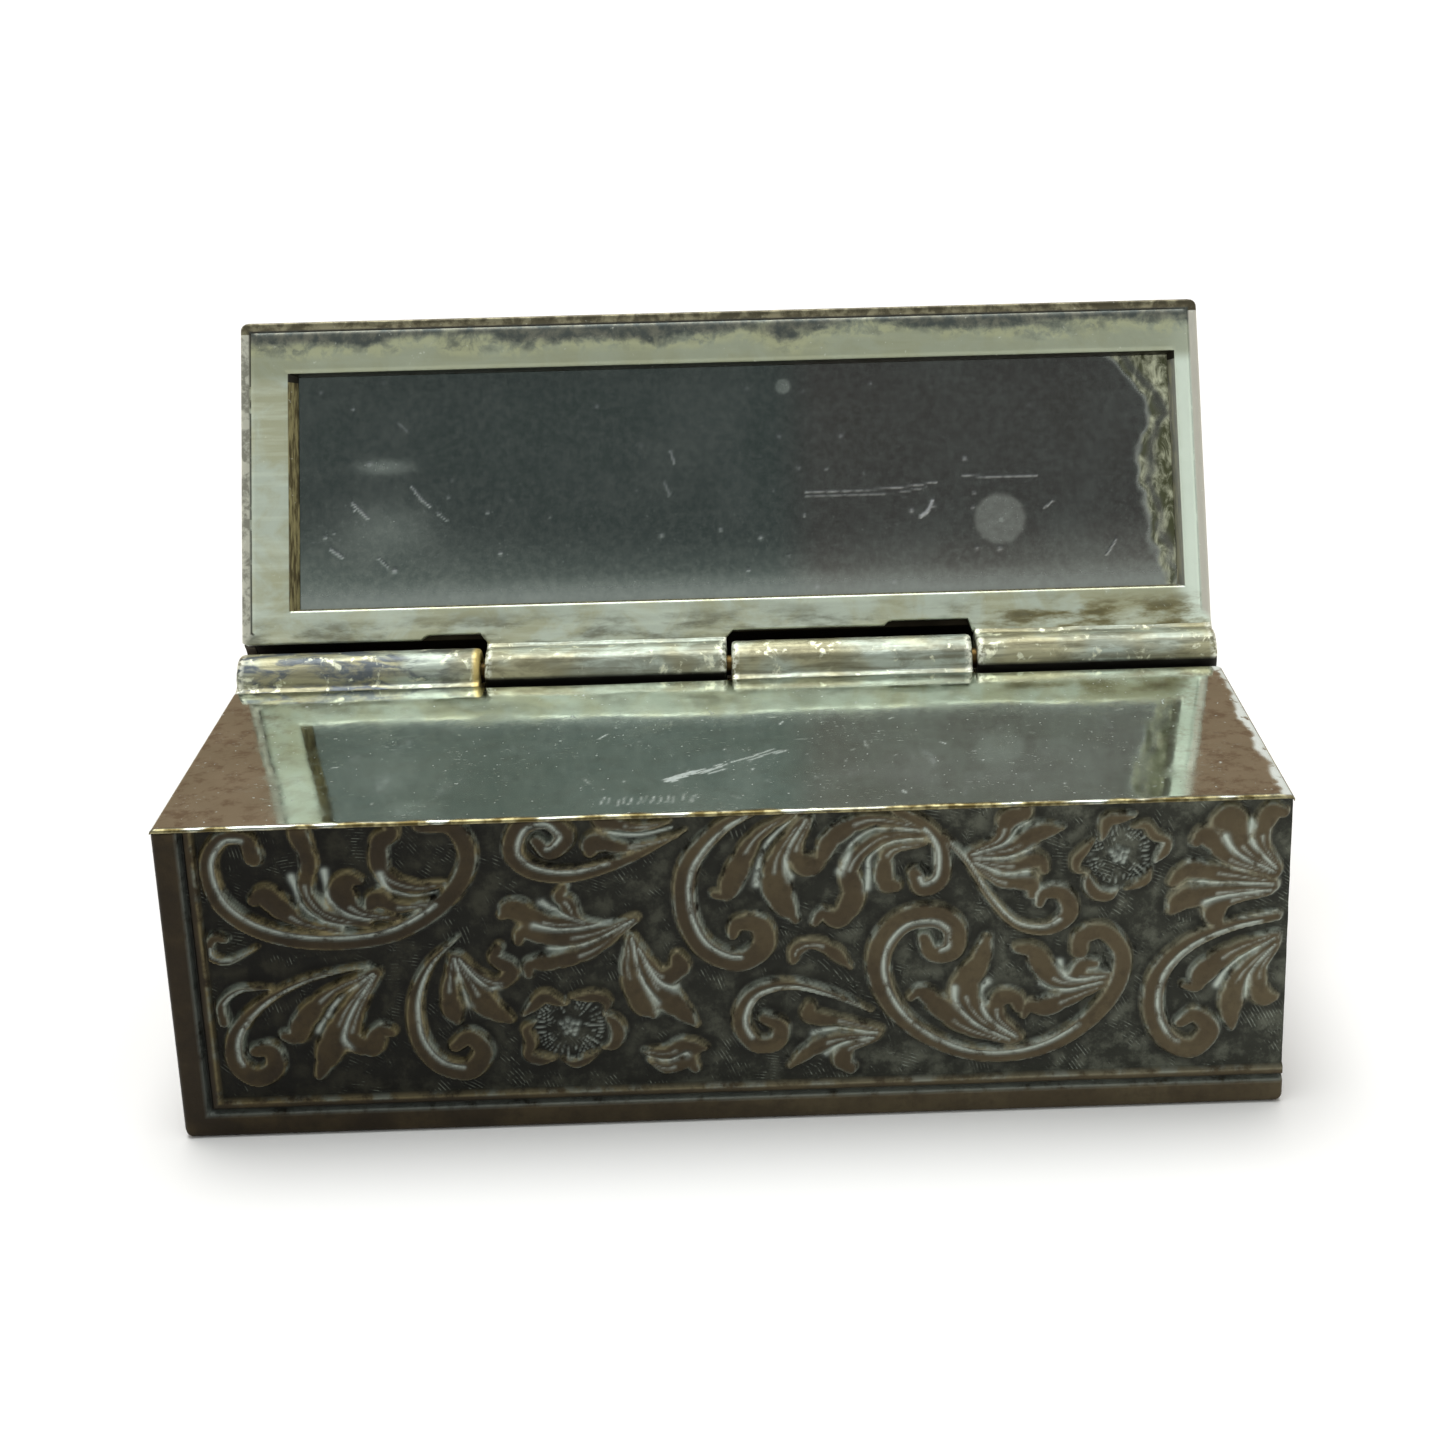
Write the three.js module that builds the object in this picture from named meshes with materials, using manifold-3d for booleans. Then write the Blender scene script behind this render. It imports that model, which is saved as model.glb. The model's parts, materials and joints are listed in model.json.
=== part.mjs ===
// A small metal vanity box with a mirror lid, in millimetres, +Z up.
// X runs along the box, -Y is the front, and the origin is the middle of the underside.
//
// The case is soldered up from flat panels under a fixed polished plate. A shallow lid with a
// framed mirror turns on a long four-knuckle hinge at the rear of the plate, and a tray slides
// out of the open right-hand end.
import * as THREE from 'three';
import { mergeVertices } from 'three/addons/utils/BufferGeometryUtils.js';
import Module from 'manifold-3d';

const wasm = await Module();
wasm.setup();

// ---------------------------------------------------------------- driving dimensions

const caseLength = 57;
const caseHeight = 17.4;          // underside to the polished plate, which is the joint plane
const axisDepth = 21.15;          // front face back to the hinge axis
const lidDepth = 3.8;
const openAngle = 113;            // degrees from closed to the lid's stop
const wallSheet = 0.7;            // front, back, bottom and end panels
const cornerRadius = 0.5;

const plateThickness = 0.6;
const plateFlange = 0.2;          // the thin edge of the plate that laps over the panels

const knuckleCount = 4;
const knuckleRadius = 1.45;
const knuckleEndGap = 0.3;        // between one knuckle and the next
const grooveClearance = 0.7;      // open room round the knuckles
const pinRadius = 0.6;
const pinEndInset = 0.15;
const pressClearance = 0.02;      // pin in the case's knuckles
const runningClearance = 0.05;    // pin in the lid's knuckles
const stopGap = 4;                // degrees that each groove edge keeps back from the open stop
const bearerWall = 0.9;           // metal left under the groove
const bearerLip = 1.25;           // metal left in front of the groove

const frameThickness = 0.6;
const frameLeftBorder = 3.3;
const frameRightBorder = 1.8;
const frameFrontBorder = 3.25;
const frameRearBorder = 1.9;
const glassThickness = 1.5;
const coverSheet = 0.6;
const closedClearance = 0.12;     // between the mirror frame and the plate when closed

const traySheet = 0.5;
const trayBendRadius = 0.8;
const trayEndThickness = 1.0;
const trayTravel = 40;
const traySideClearance = 0.15;
const trayTopClearance = 0.3;
const runnerHeight = 0.6;
const runnerWidth = 1.2;
const stopBarWidth = 8;
const stopBarHeight = 1.4;
const stopBarThickness = 1.5;
const springLength = 24;
const springWidth = 5;
const springSheet = 0.2;
const nickLength = 9;
const nickRadius = 1.5;
const nickDepth = 0.45;

const seatGap = 0.05;             // between pieces that rest on or fit into each other
const cutMargin = 1;              // how far a cutting tool runs past what it cuts

// ---------------------------------------------------------------- derived places

const degrees = Math.PI / 180;
const leftX = -caseLength / 2;
const rightX = caseLength / 2;
const grooveRadius = knuckleRadius + grooveClearance;
const rearOverhang = grooveRadius * Math.cos((openAngle / 2 + stopGap) * degrees);
const caseDepth = axisDepth + rearOverhang;
const frontY = -caseDepth / 2;
const rearY = caseDepth / 2;
const axisY = frontY + axisDepth;
const grooveEdge = Math.sqrt(grooveRadius ** 2 - rearOverhang ** 2);
const bearerDepth = grooveRadius + bearerWall;
const bearerReach = grooveRadius + bearerLip;
const plateUnderside = caseHeight - plateThickness;
const panelTop = caseHeight - plateFlange;
const bearerUnderside = caseHeight - bearerDepth;
const knuckleLength = (caseLength - (knuckleCount - 1) * knuckleEndGap) / knuckleCount;

// ---------------------------------------------------------------- materials

function metal(color, roughness) {
  return new THREE.MeshStandardMaterial({ color, roughness, metalness: 1 });
}

const chasedMetal = metal(0x6b5a49, 0.5);
const plateMetal = metal(0xb9b6a8, 0.18);
const frameMetal = metal(0x9ca08c, 0.4);
const hingeMetal = metal(0x868a84, 0.42);
const brassMetal = metal(0xa98a4a, 0.4);
const giltMetal = metal(0xb3935a, 0.38);
const springMetal = metal(0x74767a, 0.35);
const mirrorMaterial = metal(0x3a3d3a, 0.08);
const cardMaterial = new THREE.MeshStandardMaterial({ color: 0x6f5d48, roughness: 0.95 });

// ---------------------------------------------------------------- solid helpers

const X_AXIS = new THREE.Vector3(1, 0, 0);
const Y_AXIS = new THREE.Vector3(0, 1, 0);
const Z_AXIS = new THREE.Vector3(0, 0, 1);

function toSolid(geometry) {
  const bare = geometry.clone();
  bare.deleteAttribute('normal');
  bare.deleteAttribute('uv');
  const merged = mergeVertices(bare);
  const vertProperties = new Float32Array(merged.attributes.position.array);
  const triVerts = new Uint32Array(merged.index.array);
  return new wasm.Manifold(new wasm.Mesh({ numProp: 3, vertProperties, triVerts }));
}

function toGeometry(solid) {
  const mesh = solid.getMesh();
  const geometry = new THREE.BufferGeometry();
  geometry.setAttribute('position', new THREE.BufferAttribute(mesh.vertProperties, 3));
  geometry.setIndex(new THREE.BufferAttribute(mesh.triVerts, 1));
  geometry.computeVertexNormals();
  return geometry;
}

function joined(first, ...others) {
  return toGeometry(others.reduce((solid, next) => solid.add(toSolid(next)), toSolid(first)));
}

function cut(body, ...tools) {
  return toGeometry(tools.reduce((solid, tool) => solid.subtract(toSolid(tool)), toSolid(body)));
}

// A box from its lowest to its highest corner.
function block(low, high) {
  const size = high.map((value, i) => value - low[i]);
  const middle = high.map((value, i) => (value + low[i]) / 2);
  return new THREE.BoxGeometry(...size).translate(...middle);
}

// A (y, z) outline extruded along X.
function alongX(outline, x0, x1, curveSegments = 8) {
  const options = { depth: x1 - x0, bevelEnabled: false, curveSegments };
  const turn = new THREE.Matrix4().makeBasis(Y_AXIS, Z_AXIS, X_AXIS);
  return new THREE.ExtrudeGeometry(outline, options).applyMatrix4(turn).translate(x0, 0, 0);
}

// A (z, x) outline extruded along Y.
function alongY(outline, y0, y1, curveSegments = 8) {
  const options = { depth: y1 - y0, bevelEnabled: false, curveSegments };
  const turn = new THREE.Matrix4().makeBasis(Z_AXIS, X_AXIS, Y_AXIS);
  return new THREE.ExtrudeGeometry(outline, options).applyMatrix4(turn).translate(0, y0, 0);
}

// A cylinder of the given radius along X through (y, z).
function rod(radius, x0, x1, y, z, segments = 48) {
  const cylinder = new THREE.CylinderGeometry(radius, radius, x1 - x0, segments);
  return cylinder.rotateZ(-Math.PI / 2).translate((x0 + x1) / 2, y, z);
}

// The cylinder that clears the knuckles, along the hinge axis at (y, z).
function grooveTool(y, z) {
  return rod(grooveRadius, leftX - cutMargin, rightX + cutMargin, y, z, 72);
}

// ---------------------------------------------------------------- assembly helpers

const vanityBox = new THREE.Group();
const lid = new THREE.Group();
lid.position.set(0, axisY, caseHeight);
lid.rotation.x = -openAngle * degrees;
vanityBox.add(lid);

function addPiece(group, name, geometry, material) {
  const mesh = new THREE.Mesh(geometry, material);
  mesh.name = name;
  group.add(mesh);
}

// ---------------------------------------------------------------- case panels

function frontPanel() {
  const outline = new THREE.Shape();
  outline.moveTo(panelTop, leftX);
  outline.lineTo(panelTop, rightX);
  outline.lineTo(cornerRadius, rightX);
  outline.absarc(cornerRadius, rightX - cornerRadius, cornerRadius, Math.PI / 2, Math.PI, false);
  outline.lineTo(0, leftX + cornerRadius);
  outline.absarc(cornerRadius, leftX + cornerRadius, cornerRadius, Math.PI, 1.5 * Math.PI, false);
  outline.closePath();
  return alongY(outline, frontY, frontY + wallSheet);
}

function leftEndPanel() {
  const outline = new THREE.Shape();
  outline.moveTo(frontY + wallSheet, 0);
  outline.lineTo(rearY - cornerRadius, 0);
  outline.absarc(rearY - cornerRadius, cornerRadius, cornerRadius, 1.5 * Math.PI, 0, false);
  outline.lineTo(rearY, panelTop);
  outline.lineTo(frontY + wallSheet, panelTop);
  outline.closePath();
  const panel = alongX(outline, leftX, leftX + wallSheet);
  return cut(panel, grooveTool(axisY, caseHeight));
}

function bottomPanel() {
  return block([leftX + wallSheet, frontY + wallSheet, 0], [rightX, rearY - wallSheet, wallSheet]);
}

function backPanel() {
  const outline = new THREE.Shape();
  outline.moveTo(rearY - wallSheet, 0);
  outline.lineTo(rearY - cornerRadius, 0);
  outline.absarc(rearY - cornerRadius, cornerRadius, cornerRadius, 1.5 * Math.PI, 0, false);
  outline.lineTo(rearY, bearerUnderside);
  outline.lineTo(rearY - wallSheet, bearerUnderside);
  outline.closePath();
  return alongX(outline, leftX + wallSheet, rightX);
}

// The plate drops between the panels, and a thin flange laps over their top edges.
function topPlate() {
  const plateRear = axisY - grooveRadius;
  const flange = block([leftX, frontY, panelTop], [rightX, plateRear, caseHeight]);
  const insetLow = [leftX + wallSheet + seatGap, frontY + wallSheet + seatGap, plateUnderside];
  const inset = block(insetLow, [rightX, plateRear, caseHeight]);
  return joined(flange, inset);
}

addPiece(vanityBox, 'front_panel', frontPanel(), chasedMetal);
addPiece(vanityBox, 'left_end_panel', leftEndPanel(), chasedMetal);
addPiece(vanityBox, 'bottom_panel', bottomPanel(), chasedMetal);
addPiece(vanityBox, 'back_panel', backPanel(), chasedMetal);
addPiece(vanityBox, 'top_plate', topPlate(), plateMetal);

// ---------------------------------------------------------------- hinge

// Both bearers are strips with the knuckle groove cut along one edge. The case's strip lies
// below the joint plane, and the lid's strip above it.
function caseBearer() {
  const low = [leftX + wallSheet, axisY - bearerReach, bearerUnderside];
  const high = [rightX, rearY, plateUnderside];
  return cut(block(low, high), grooveTool(axisY, caseHeight));
}

function lidBearer() {
  const low = [leftX + coverSheet + seatGap, -bearerReach, closedClearance + frameThickness + seatGap];
  const high = [rightX - coverSheet - seatGap, rearOverhang, lidDepth - coverSheet - seatGap];
  return cut(block(low, high), grooveTool(0, 0));
}

// One knuckle: a tube round the hinge axis with a foot that fills its bearer's groove from
// footStart to footEnd, in degrees about the axis from the rear.
function knuckle(index, boreRadius, footStart, footEnd) {
  const x0 = leftX + index * (knuckleLength + knuckleEndGap);
  const outline = new THREE.Shape();
  const footRadius = grooveRadius - seatGap;
  outline.absarc(0, 0, footRadius, footStart * degrees, footEnd * degrees, false);
  outline.absarc(0, 0, knuckleRadius, footEnd * degrees, (footStart + 360) * degrees, false);
  outline.closePath();
  const bore = new THREE.Path();
  bore.absarc(0, 0, boreRadius, 0, 2 * Math.PI, true);
  outline.holes.push(bore);
  return alongX(outline, x0, x0 + knuckleLength, 24);
}

function hingePin() {
  return rod(pinRadius, leftX + pinEndInset, rightX - pinEndInset, axisY, caseHeight);
}

const caseFoot = [182, 292];
const lidFoot = [68, 178];
const caseBore = pinRadius + pressClearance;
const lidBore = pinRadius + runningClearance;

function caseKnuckle(index) {
  return knuckle(index, caseBore, ...caseFoot).translate(0, axisY, caseHeight);
}

addPiece(vanityBox, 'case_bearer', caseBearer(), hingeMetal);
addPiece(vanityBox, 'case_knuckle_left', caseKnuckle(0), hingeMetal);
addPiece(vanityBox, 'case_knuckle_right', caseKnuckle(2), hingeMetal);
addPiece(vanityBox, 'hinge_pin', hingePin(), brassMetal);
addPiece(lid, 'lid_bearer', lidBearer(), hingeMetal);
addPiece(lid, 'lid_knuckle_left', knuckle(1, lidBore, ...lidFoot), hingeMetal);
addPiece(lid, 'lid_knuckle_right', knuckle(3, lidBore, ...lidFoot), hingeMetal);

// ---------------------------------------------------------------- lid, drawn closed about the axis

const lidInnerLeft = leftX + coverSheet + seatGap;
const lidInnerRight = rightX - coverSheet - seatGap;
const lidInnerFront = -axisDepth + coverSheet + seatGap;
const glassRear = -bearerReach - seatGap;
const glassLow = closedClearance + frameThickness + seatGap;
const glassHigh = glassLow + glassThickness;

// A shallow dish: the outer sheet with its front and end walls, open at the hinge.
function lidCover() {
  const bendZ = lidDepth - cornerRadius;
  const frontBendY = -axisDepth + cornerRadius;
  const rearBendY = rearOverhang - cornerRadius;
  const outline = new THREE.Shape();
  outline.moveTo(-axisDepth, glassLow);
  outline.lineTo(rearOverhang, glassLow);
  outline.lineTo(rearOverhang, bendZ);
  outline.absarc(rearBendY, bendZ, cornerRadius, 0, Math.PI / 2, false);
  outline.lineTo(frontBendY, lidDepth);
  outline.absarc(frontBendY, bendZ, cornerRadius, Math.PI / 2, Math.PI, false);
  outline.closePath();
  const outer = alongX(outline, leftX, rightX);
  const pocketLow = [leftX + coverSheet, -axisDepth + coverSheet, glassLow - cutMargin];
  const pocketHigh = [rightX - coverSheet, rearOverhang + cutMargin, lidDepth - coverSheet];
  return cut(outer, block(pocketLow, pocketHigh), grooveTool(0, 0));
}

function mirrorFrame() {
  const high = closedClearance + frameThickness;
  const plate = block([leftX, -axisDepth, closedClearance], [rightX, -grooveRadius, high]);
  const openingLow = [leftX + frameLeftBorder, -axisDepth + frameFrontBorder, closedClearance - cutMargin];
  const openingHigh = [rightX - frameRightBorder, -grooveRadius - frameRearBorder, high + cutMargin];
  return cut(plate, block(openingLow, openingHigh));
}

function mirrorGlass() {
  return block([lidInnerLeft, lidInnerFront, glassLow], [lidInnerRight, glassRear, glassHigh]);
}

function mirrorBacking() {
  const low = [lidInnerLeft, lidInnerFront, glassHigh + seatGap];
  return block(low, [lidInnerRight, glassRear, lidDepth - coverSheet - seatGap]);
}

addPiece(lid, 'lid_cover', lidCover(), chasedMetal);
addPiece(lid, 'mirror_frame', mirrorFrame(), frameMetal);
addPiece(lid, 'mirror_glass', mirrorGlass(), mirrorMaterial);
addPiece(lid, 'mirror_backing', mirrorBacking(), cardMaterial);

// ---------------------------------------------------------------- sliding tray and what guides it

const trayFrontY = frontY + wallSheet + traySideClearance;
const trayRearY = rearY - wallSheet - traySideClearance;
const trayLow = wallSheet + runnerHeight + seatGap;
const trayHigh = bearerUnderside - trayTopClearance;
const innerEndX = leftX + wallSheet + seatGap;
const channelStartX = innerEndX + traySheet + seatGap;
const endPlateX = rightX - trayEndThickness;
const channelEndX = endPlateX - seatGap;
const tabMiddleY = (frontY + axisY - bearerReach) / 2;

// The folded sheet: a floor with two long walls and round bends.
function trayChannel() {
  const bend = trayBendRadius;
  const innerBend = bend - traySheet;
  const floor = trayLow + traySheet;
  const outline = new THREE.Shape();
  outline.moveTo(trayFrontY, trayHigh);
  outline.lineTo(trayFrontY, trayLow + bend);
  outline.absarc(trayFrontY + bend, trayLow + bend, bend, Math.PI, 1.5 * Math.PI, false);
  outline.lineTo(trayRearY - bend, trayLow);
  outline.absarc(trayRearY - bend, trayLow + bend, bend, 1.5 * Math.PI, 2 * Math.PI, false);
  outline.lineTo(trayRearY, trayHigh);
  outline.lineTo(trayRearY - traySheet, trayHigh);
  outline.lineTo(trayRearY - traySheet, floor + innerBend);
  outline.absarc(trayRearY - bend, floor + innerBend, innerBend, 0, -Math.PI / 2, true);
  outline.lineTo(trayFrontY + bend, floor);
  outline.absarc(trayFrontY + bend, floor + innerBend, innerBend, 1.5 * Math.PI, Math.PI, true);
  outline.lineTo(trayFrontY + traySheet, trayHigh);
  outline.closePath();
  return alongX(outline, channelStartX, channelEndX, 6);
}

// The tray's closed inner end. Its raised tab meets the stop bar when the tray is drawn.
function trayInnerEnd() {
  const end = block([innerEndX, trayFrontY, trayLow], [innerEndX + traySheet, trayRearY, trayHigh]);
  const tabLow = [innerEndX, tabMiddleY - stopBarWidth / 2, trayLow];
  const tabHigh = [innerEndX + traySheet, tabMiddleY + stopBarWidth / 2, plateUnderside - trayTopClearance];
  return joined(end, block(tabLow, tabHigh));
}

// The outer end fills the mouth round the hinge strip, with a nail nick to draw it by.
function trayEndPlate() {
  const low = wallSheet + traySideClearance;
  const stepZ = bearerUnderside - traySideClearance;
  const stepY = axisY - bearerReach - traySideClearance;
  const high = plateUnderside - traySideClearance;
  const outline = new THREE.Shape();
  outline.moveTo(trayFrontY, low);
  outline.lineTo(trayRearY, low);
  outline.lineTo(trayRearY, stepZ);
  outline.lineTo(stepY, stepZ);
  outline.lineTo(stepY, high);
  outline.lineTo(trayFrontY, high);
  outline.closePath();
  const plate = alongX(outline, endPlateX, rightX);
  const nick = new THREE.CylinderGeometry(nickRadius, nickRadius, nickLength, 32);
  nick.translate(rightX + nickRadius - nickDepth, tabMiddleY, high * 0.75);
  return cut(plate, nick);
}

function trayRunner(y0) {
  const x0 = leftX + wallSheet + seatGap;
  const x1 = endPlateX - seatGap;
  return block([x0, y0, wallSheet], [x1, y0 + runnerWidth, wallSheet + runnerHeight]);
}

// A bar under the plate that the inner end's tab runs up against.
function trayStop() {
  const x0 = innerEndX + traySheet + trayTravel;
  const low = [x0, tabMiddleY - stopBarWidth / 2, plateUnderside - stopBarHeight];
  return block(low, [x0 + stopBarThickness, tabMiddleY + stopBarWidth / 2, plateUnderside]);
}

// A bowed leaf on the floor of the case that keeps the tray from rattling.
function traySpring() {
  const bow = runnerHeight - springSheet - seatGap;
  const half = springLength / 2;
  const arcRadius = (half ** 2 + bow ** 2) / (2 * bow);
  const halfAngle = Math.asin(half / arcRadius);
  const centreZ = wallSheet + bow - arcRadius;
  const outline = new THREE.Shape();
  outline.absarc(centreZ, 0, arcRadius + springSheet, -halfAngle, halfAngle, false);
  outline.absarc(centreZ, 0, arcRadius, halfAngle, -halfAngle, true);
  outline.closePath();
  const middleY = (frontY + rearY) / 2;
  return alongY(outline, middleY - springWidth / 2, middleY + springWidth / 2, 10);
}

addPiece(vanityBox, 'tray_runner_front', trayRunner(trayFrontY), giltMetal);
addPiece(vanityBox, 'tray_runner_rear', trayRunner(trayRearY - runnerWidth), giltMetal);
addPiece(vanityBox, 'tray_stop', trayStop(), giltMetal);
addPiece(vanityBox, 'tray_spring', traySpring(), springMetal);
addPiece(vanityBox, 'tray_channel', trayChannel(), giltMetal);
addPiece(vanityBox, 'tray_inner_end', trayInnerEnd(), giltMetal);
addPiece(vanityBox, 'tray_end_plate', trayEndPlate(), chasedMetal);

export default vanityBox;
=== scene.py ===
"""Looks of the small chased vanity box: relief panels, worn plate, mirror and hinge.

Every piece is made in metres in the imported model's own frame. Panel designs are drawn in
millimetres on a flat panel, x from its left edge and z from its lower edge.
"""
import json
import math

import bmesh
import bpy
import numpy as np
from mathutils import Matrix, Vector


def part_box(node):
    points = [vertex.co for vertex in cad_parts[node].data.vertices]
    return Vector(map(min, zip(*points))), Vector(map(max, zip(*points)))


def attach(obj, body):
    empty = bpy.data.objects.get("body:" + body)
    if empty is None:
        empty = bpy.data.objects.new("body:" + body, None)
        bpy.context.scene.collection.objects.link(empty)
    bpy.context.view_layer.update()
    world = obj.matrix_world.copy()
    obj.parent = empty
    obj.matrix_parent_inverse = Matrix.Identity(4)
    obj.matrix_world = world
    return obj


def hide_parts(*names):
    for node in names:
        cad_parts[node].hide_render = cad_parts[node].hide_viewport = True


MM = 0.001
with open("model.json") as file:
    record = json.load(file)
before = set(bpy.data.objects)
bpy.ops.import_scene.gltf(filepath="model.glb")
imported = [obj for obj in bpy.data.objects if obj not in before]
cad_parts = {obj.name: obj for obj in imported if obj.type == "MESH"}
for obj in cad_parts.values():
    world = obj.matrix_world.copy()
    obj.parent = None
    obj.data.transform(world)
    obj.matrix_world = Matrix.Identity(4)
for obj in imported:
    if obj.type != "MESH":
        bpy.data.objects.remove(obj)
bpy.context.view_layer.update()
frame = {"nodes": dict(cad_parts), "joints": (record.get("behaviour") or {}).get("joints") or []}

# ---------------------------------------------------------------- sizes taken from the frame

HINGE = next(joint for joint in frame["joints"] if joint["name"] == "lid_hinge")
HINGE_POINT = Vector(HINGE["pos_m"])
OPEN_ANGLE = math.radians(HINGE["range_deg"][1])


def corners(node):
    """Lowest and highest corner of a CAD node at rest."""
    low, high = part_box(node)
    return Vector(low), Vector(high)


FRONT_LOW, FRONT_HIGH = corners("front_panel")
BACK_LOW, BACK_HIGH = corners("back_panel")
END_LOW, END_HIGH = corners("left_end_panel")
MOUTH_LOW, MOUTH_HIGH = corners("tray_end_plate")
PLATE_LOW, PLATE_HIGH = corners("top_plate")
PANEL_SHEET = FRONT_HIGH.y - FRONT_LOW.y
PLATE_FLANGE = PLATE_HIGH.z - FRONT_HIGH.z
LEFT = FRONT_LOW.x
RIGHT = FRONT_HIGH.x
CASE_LENGTH = RIGHT - LEFT
LID_REACH = HINGE_POINT.y - FRONT_LOW.y          # hinge axis to the lid's front edge
REAR_OVERHANG = BACK_HIGH.y - HINGE_POINT.y
GROOVE_RADIUS = HINGE_POINT.y - PLATE_HIGH.y
LID_TURN = Matrix.Translation(HINGE_POINT) @ Matrix.Rotation(-OPEN_ANGLE, 4, "X")


def opened(points):
    """Points of the closed lid, in metres from the hinge axis, turned to where the open lid is."""
    turn = np.array(LID_TURN)
    return np.asarray(points) @ turn[:3, :3].T + turn[:3, 3]


# ---------------------------------------------------------------- ornament drawing on a panel

SPLINE_STEP = 0.07        # spacing of the points on a drawn curve, mm
RELIEF_PITCH = 0.102      # grid spacing, mm
RELIEF_DEPTH = 0.40       # ground below the panel's face, mm
EDGE_SLOPE = 0.17         # width of the slope round a raised shape, mm
VEIN_WIDTH = 0.105        # an engraved line's half-width, mm
VEIN_DEPTH = 0.17         # an engraved line's depth, mm
RIM_WIDTH = 0.080         # half-width of the pale line that outlines a shape, mm
LEAF_BLEND = 0.22         # how widely a leaf's lobes run together, mm
LOBE_SWELL = 0.06         # added to the half-width of each leaf strand, mm
LOBE_NOTCH = 0.22         # how deeply a leaf's edge is nicked, as a share of its half-width
LOBE_PITCH = 1.15         # from one nick to the next, mm
BROAD_TIP = 0.28          # a strand this wide at its end, mm, gets a hooked tip
HOOK_REACH = 0.62         # how far a broad lobe's tip curls over, mm
HOOK_TURN = 1.25          # and how far it turns, radians


def smooth(value, low, high):
    """0 below low to 1 above high."""
    t = np.clip((value - low) / (high - low), 0, 1)
    return t * t * (3 - 2 * t)


def fade(value, low, high):
    """1 below low to 0 above high."""
    return 1 - smooth(value, low, high)


def bell(value, middle, width):
    """1 at middle, falling to both sides."""
    return np.exp(-((value - middle) / width) ** 2)


def spot(x, y, cx, cy, reach_x, reach_y):
    """1 at a point, falling all round it."""
    return np.exp(-((x - cx) / reach_x) ** 2 - ((y - cy) / reach_y) ** 2)


def spline(points, step=SPLINE_STEP):
    """Catmull-Rom curve through (x, z, half_width) points, sampled about every step mm."""
    p = np.array(points, float)
    p = np.vstack([2 * p[0] - p[1], p, 2 * p[-1] - p[-2]])
    out = []
    for a, b, c, d in zip(p[:-3], p[1:-2], p[2:-1], p[3:]):
        count = max(2, int(np.hypot(*(c - b)[:2]) / step))
        t = np.linspace(0, 1, count, endpoint=False)[:, None]
        out.append(0.5 * (2 * b + (c - a) * t + (2 * a - 5 * b + 4 * c - d) * t**2
                          + (3 * b - a - 3 * c + d) * t**3))
    out.append(p[-2][None])
    curve = np.vstack(out)
    curve[:, 2] = np.maximum(curve[:, 2], 0.03)
    return curve


def depth_inside(curve, x, z):
    """Distance inside a band that follows a curve, and the band's half-width there."""
    depth = np.full(x.shape, -9.0)
    width = np.full(x.shape, 0.1)
    for px, pz, w in curve:
        d = w - np.hypot(x - px, z - pz)
        closer = d > depth
        depth[closer] = d[closer]
        width[closer] = w
    return depth, width


def blurred_noise(rng, shape, cells):
    """Smooth noise between about -1 and 1, with features of about so many grid cells."""
    ny, nx = shape[0] // cells + 3, shape[1] // cells + 3
    coarse = rng.uniform(-1, 1, (ny, nx))
    v = np.linspace(0, ny - 1.001, shape[0])
    u = np.linspace(0, nx - 1.001, shape[1])
    j, i = v.astype(int), u.astype(int)
    fv, fu = smooth(v - j, 0, 1)[:, None], smooth(u - i, 0, 1)[None]
    low = coarse[np.ix_(j, i)] * (1 - fu) + coarse[np.ix_(j, i + 1)] * fu
    high = coarse[np.ix_(j + 1, i)] * (1 - fu) + coarse[np.ix_(j + 1, i + 1)] * fu
    return low * (1 - fv) + high * fv


HATCH_PATCH = 2.2         # size of a patch of hatching, mm
HATCH_PITCH = 0.19        # from one of its cut lines to the next, mm


def hatch_phase(x, z, width, height, rng):
    """Cut-line count across patches of fine hatching, each patch in its own direction."""
    count = int(width * height / HATCH_PATCH**2) + 4
    nearest = np.full(x.shape, 1e9)
    phase = np.zeros(x.shape)
    for _ in range(count):
        cx, cz = rng.uniform(0, width), rng.uniform(0, height)
        a = rng.uniform(0.2, 1.5)
        d = np.hypot(x - cx, z - cz)
        own = d < nearest
        nearest[own] = d[own]
        curved = (x - cx) * math.cos(a) + (z - cz) * math.sin(a) + 0.05 * d**2
        phase[own] = curved[own] / HATCH_PITCH
    return phase


def hooked_tip(strand, neighbour):
    """A leaf strand whose broad tip curls over, away from its neighbour's tip."""
    (x0, z0, _), (x1, z1, w) = strand[-2:]
    if w < BROAD_TIP:
        return strand
    ahead = math.atan2(z1 - z0, x1 - x0)
    across = (x1 - x0) * (neighbour[1] - z1) - (z1 - z0) * (neighbour[0] - x1)
    turned = ahead + (-HOOK_TURN if across > 0 else HOOK_TURN)
    tip = (x1 + HOOK_REACH * math.cos(turned), z1 + HOOK_REACH * math.sin(turned), 0.6 * w)
    return [*strand, tip]


def lobe(strand, neighbour):
    """One lobe of a leaf as a curve, hooked at its tip and nicked along its edges."""
    curve = spline([(x, z, w + LOBE_SWELL) for x, z, w in hooked_tip(strand, neighbour)])
    along = np.arange(len(curve)) * SPLINE_STEP / LOBE_PITCH
    curve[:, 2] *= 1 - LOBE_NOTCH * (1 - np.abs(np.sin(math.pi * along))) ** 2
    return curve


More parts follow.
